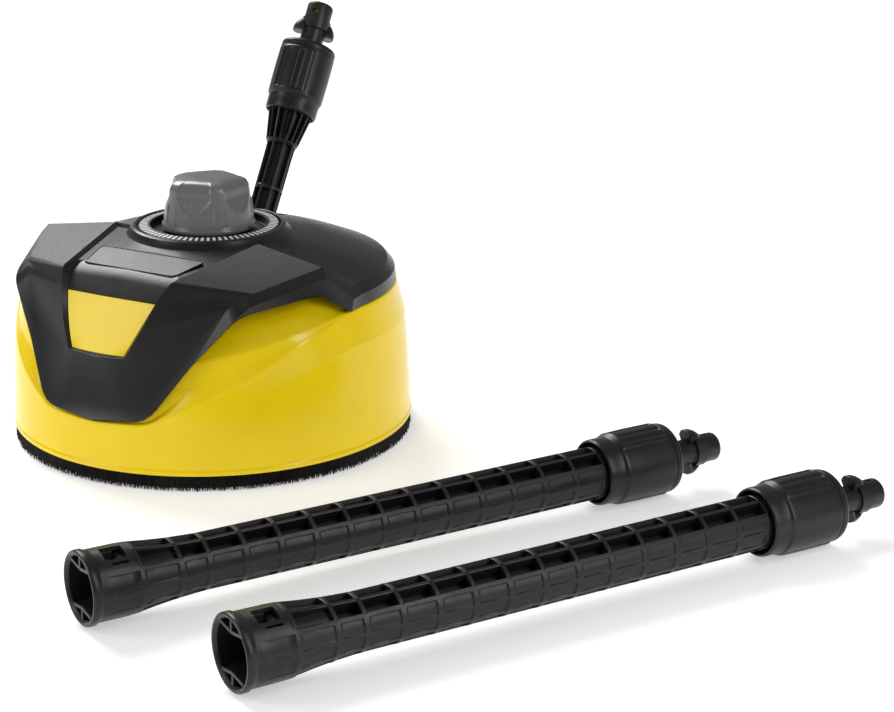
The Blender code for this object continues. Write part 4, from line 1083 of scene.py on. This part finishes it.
# ---- carried-over CAD nodes
def paint_nodes():
    """Materials for the CAD nodes that stay visible."""
    looks = {
        STEEL: ("lift_spindle", "guide_pin_left", "guide_pin_right", "pivot_pin", "feed_tube",
                "upper_bearing", "lower_bearing", "rotor_shaft", "spray_bar", "hub_nut",
                "lance_core_pipe", "wand_1_core_pipe", "wand_2_core_pipe",
                *[f"cover_screw_{n}" for n in (1, 2, 3, 4)]),
        BRASS: ("swivel_housing", "feed_sleeve", "jet_nozzle_left", "jet_nozzle_right"),
        SEAL: ("shaft_seal", "feed_seal", "wand_1_coupler_seal", "wand_2_coupler_seal"),
        NATURAL: ("carriage_plate", "pivot_bush_left", "pivot_bush_right"),
        BLACK: ("brush_carrier", "pivot_yoke"),
        LATTICE: ("wand_1_coupler", "wand_2_coupler"),
        YELLOW: ("spigot_insert",),
    }
    for material, names in looks.items():
        for name in names:
            mesh = frame["nodes"][name].data
            mesh.materials.clear()
            mesh.materials.append(material)
            shade(mesh, 32.0)


# ---- floor, light and camera
FLOOR_SIZE, FLOOR_GAP, FLOOR_GLOW = 6.0, 0.0002, 0.43  # metres, metres, emission
WORLD_GLOW = 0.25
WHITE_LIGHT = (1.0, 1.0, 1.0, 1.0)


def make_floor():
    material, tree, shader = new_material("floor_white")
    share = ranged(tree, noise(tree, 3.0, 2.0), 0.0, 1.0)
    set_inputs(tree, shader, Base_Color=mixed(tree, share, (0.90, 0.90, 0.90, 1), (0.92, 0.92, 0.92, 1)),
               Roughness=0.6, Emission_Color=WHITE_LIGHT, Emission_Strength=FLOOR_GLOW)
    mesh = bpy.data.meshes.new("floor")
    corners = [(x * FLOOR_SIZE, y * FLOOR_SIZE, 0) for x, y in ((-1, -1), (1, -1), (1, 1), (-1, 1))]
    mesh.from_pydata(corners, [], [(0, 1, 2, 3)])
    mesh.materials.append(material)
    floor = linked("floor", mesh)
    floor.location.z = -FLOOR_GAP


def aimed(data, at, ahead):
    """A light or the camera at a place, facing along a direction."""
    obj = linked(data.name, data)
    obj.location = at
    obj.rotation_euler = ahead.to_track_quat("-Z", "Y").to_euler()
    return obj


def area_light(name, at, towards, size, energy):
    data = bpy.data.lights.new(name, "AREA")
    data.shape = "RECTANGLE"
    data.size, data.size_y = size
    data.energy = energy
    aimed(data, at, Vector(towards) - Vector(at))


def make_light():
    """A soft sun over the left shoulder, a soft box at each side and a pale room."""
    bpy.context.scene.view_settings.view_transform = "Standard"
    world = bpy.data.worlds.new("studio")
    bpy.context.scene.world = world
    world.use_nodes = True
    tree = world.node_tree
    set_inputs(tree, tree.nodes["Background"], Color=WHITE_LIGHT, Strength=WORLD_GLOW)
    sun = bpy.data.lights.new("overhead", "SUN")
    sun.energy = 2.2
    sun.angle = math.radians(32.0)
    aimed(sun, (0.0, 0.0, 0.0), Vector((1.0, -0.6, -0.95)))
    area_light("key", (-1.2, -1.3, 0.9), (-0.1, 0.0, 0.05), (0.8, 0.9), 9.0)
    area_light("side", (1.3, -0.1, 0.85), (-0.1, 0.0, 0.1), (0.3, 1.3), 8.0)


CAMERA_AT = (0.7811, -1.2134, 0.572)
CAMERA_HEADING = (-0.5, 0.8660)  # over the floor
CAMERA_PITCH = 17.74  # degrees below level
FOCAL_MM, SENSOR_MM, SHIFT = 92.67, 36.0, 0.0024


def make_camera():
    data = bpy.data.cameras.new("camera")
    data.sensor_width = SENSOR_MM
    data.lens = FOCAL_MM
    data.shift_x = SHIFT
    data.clip_end = 50.0
    pitch = math.radians(CAMERA_PITCH)
    level = Vector((*CAMERA_HEADING, 0)).normalized()
    ahead = level * math.cos(pitch) + Vector((0, 0, -math.sin(pitch)))
    bpy.context.scene.camera = aimed(data, CAMERA_AT, ahead)


make_hood()
make_bristles()
make_cover()
make_inlay()
make_plate()
make_scale_ring()
make_knob()
make_lance()
for wand_number in (1, 2):
    make_wand(wand_number)
paint_nodes()
make_floor()
make_light()
make_camera()
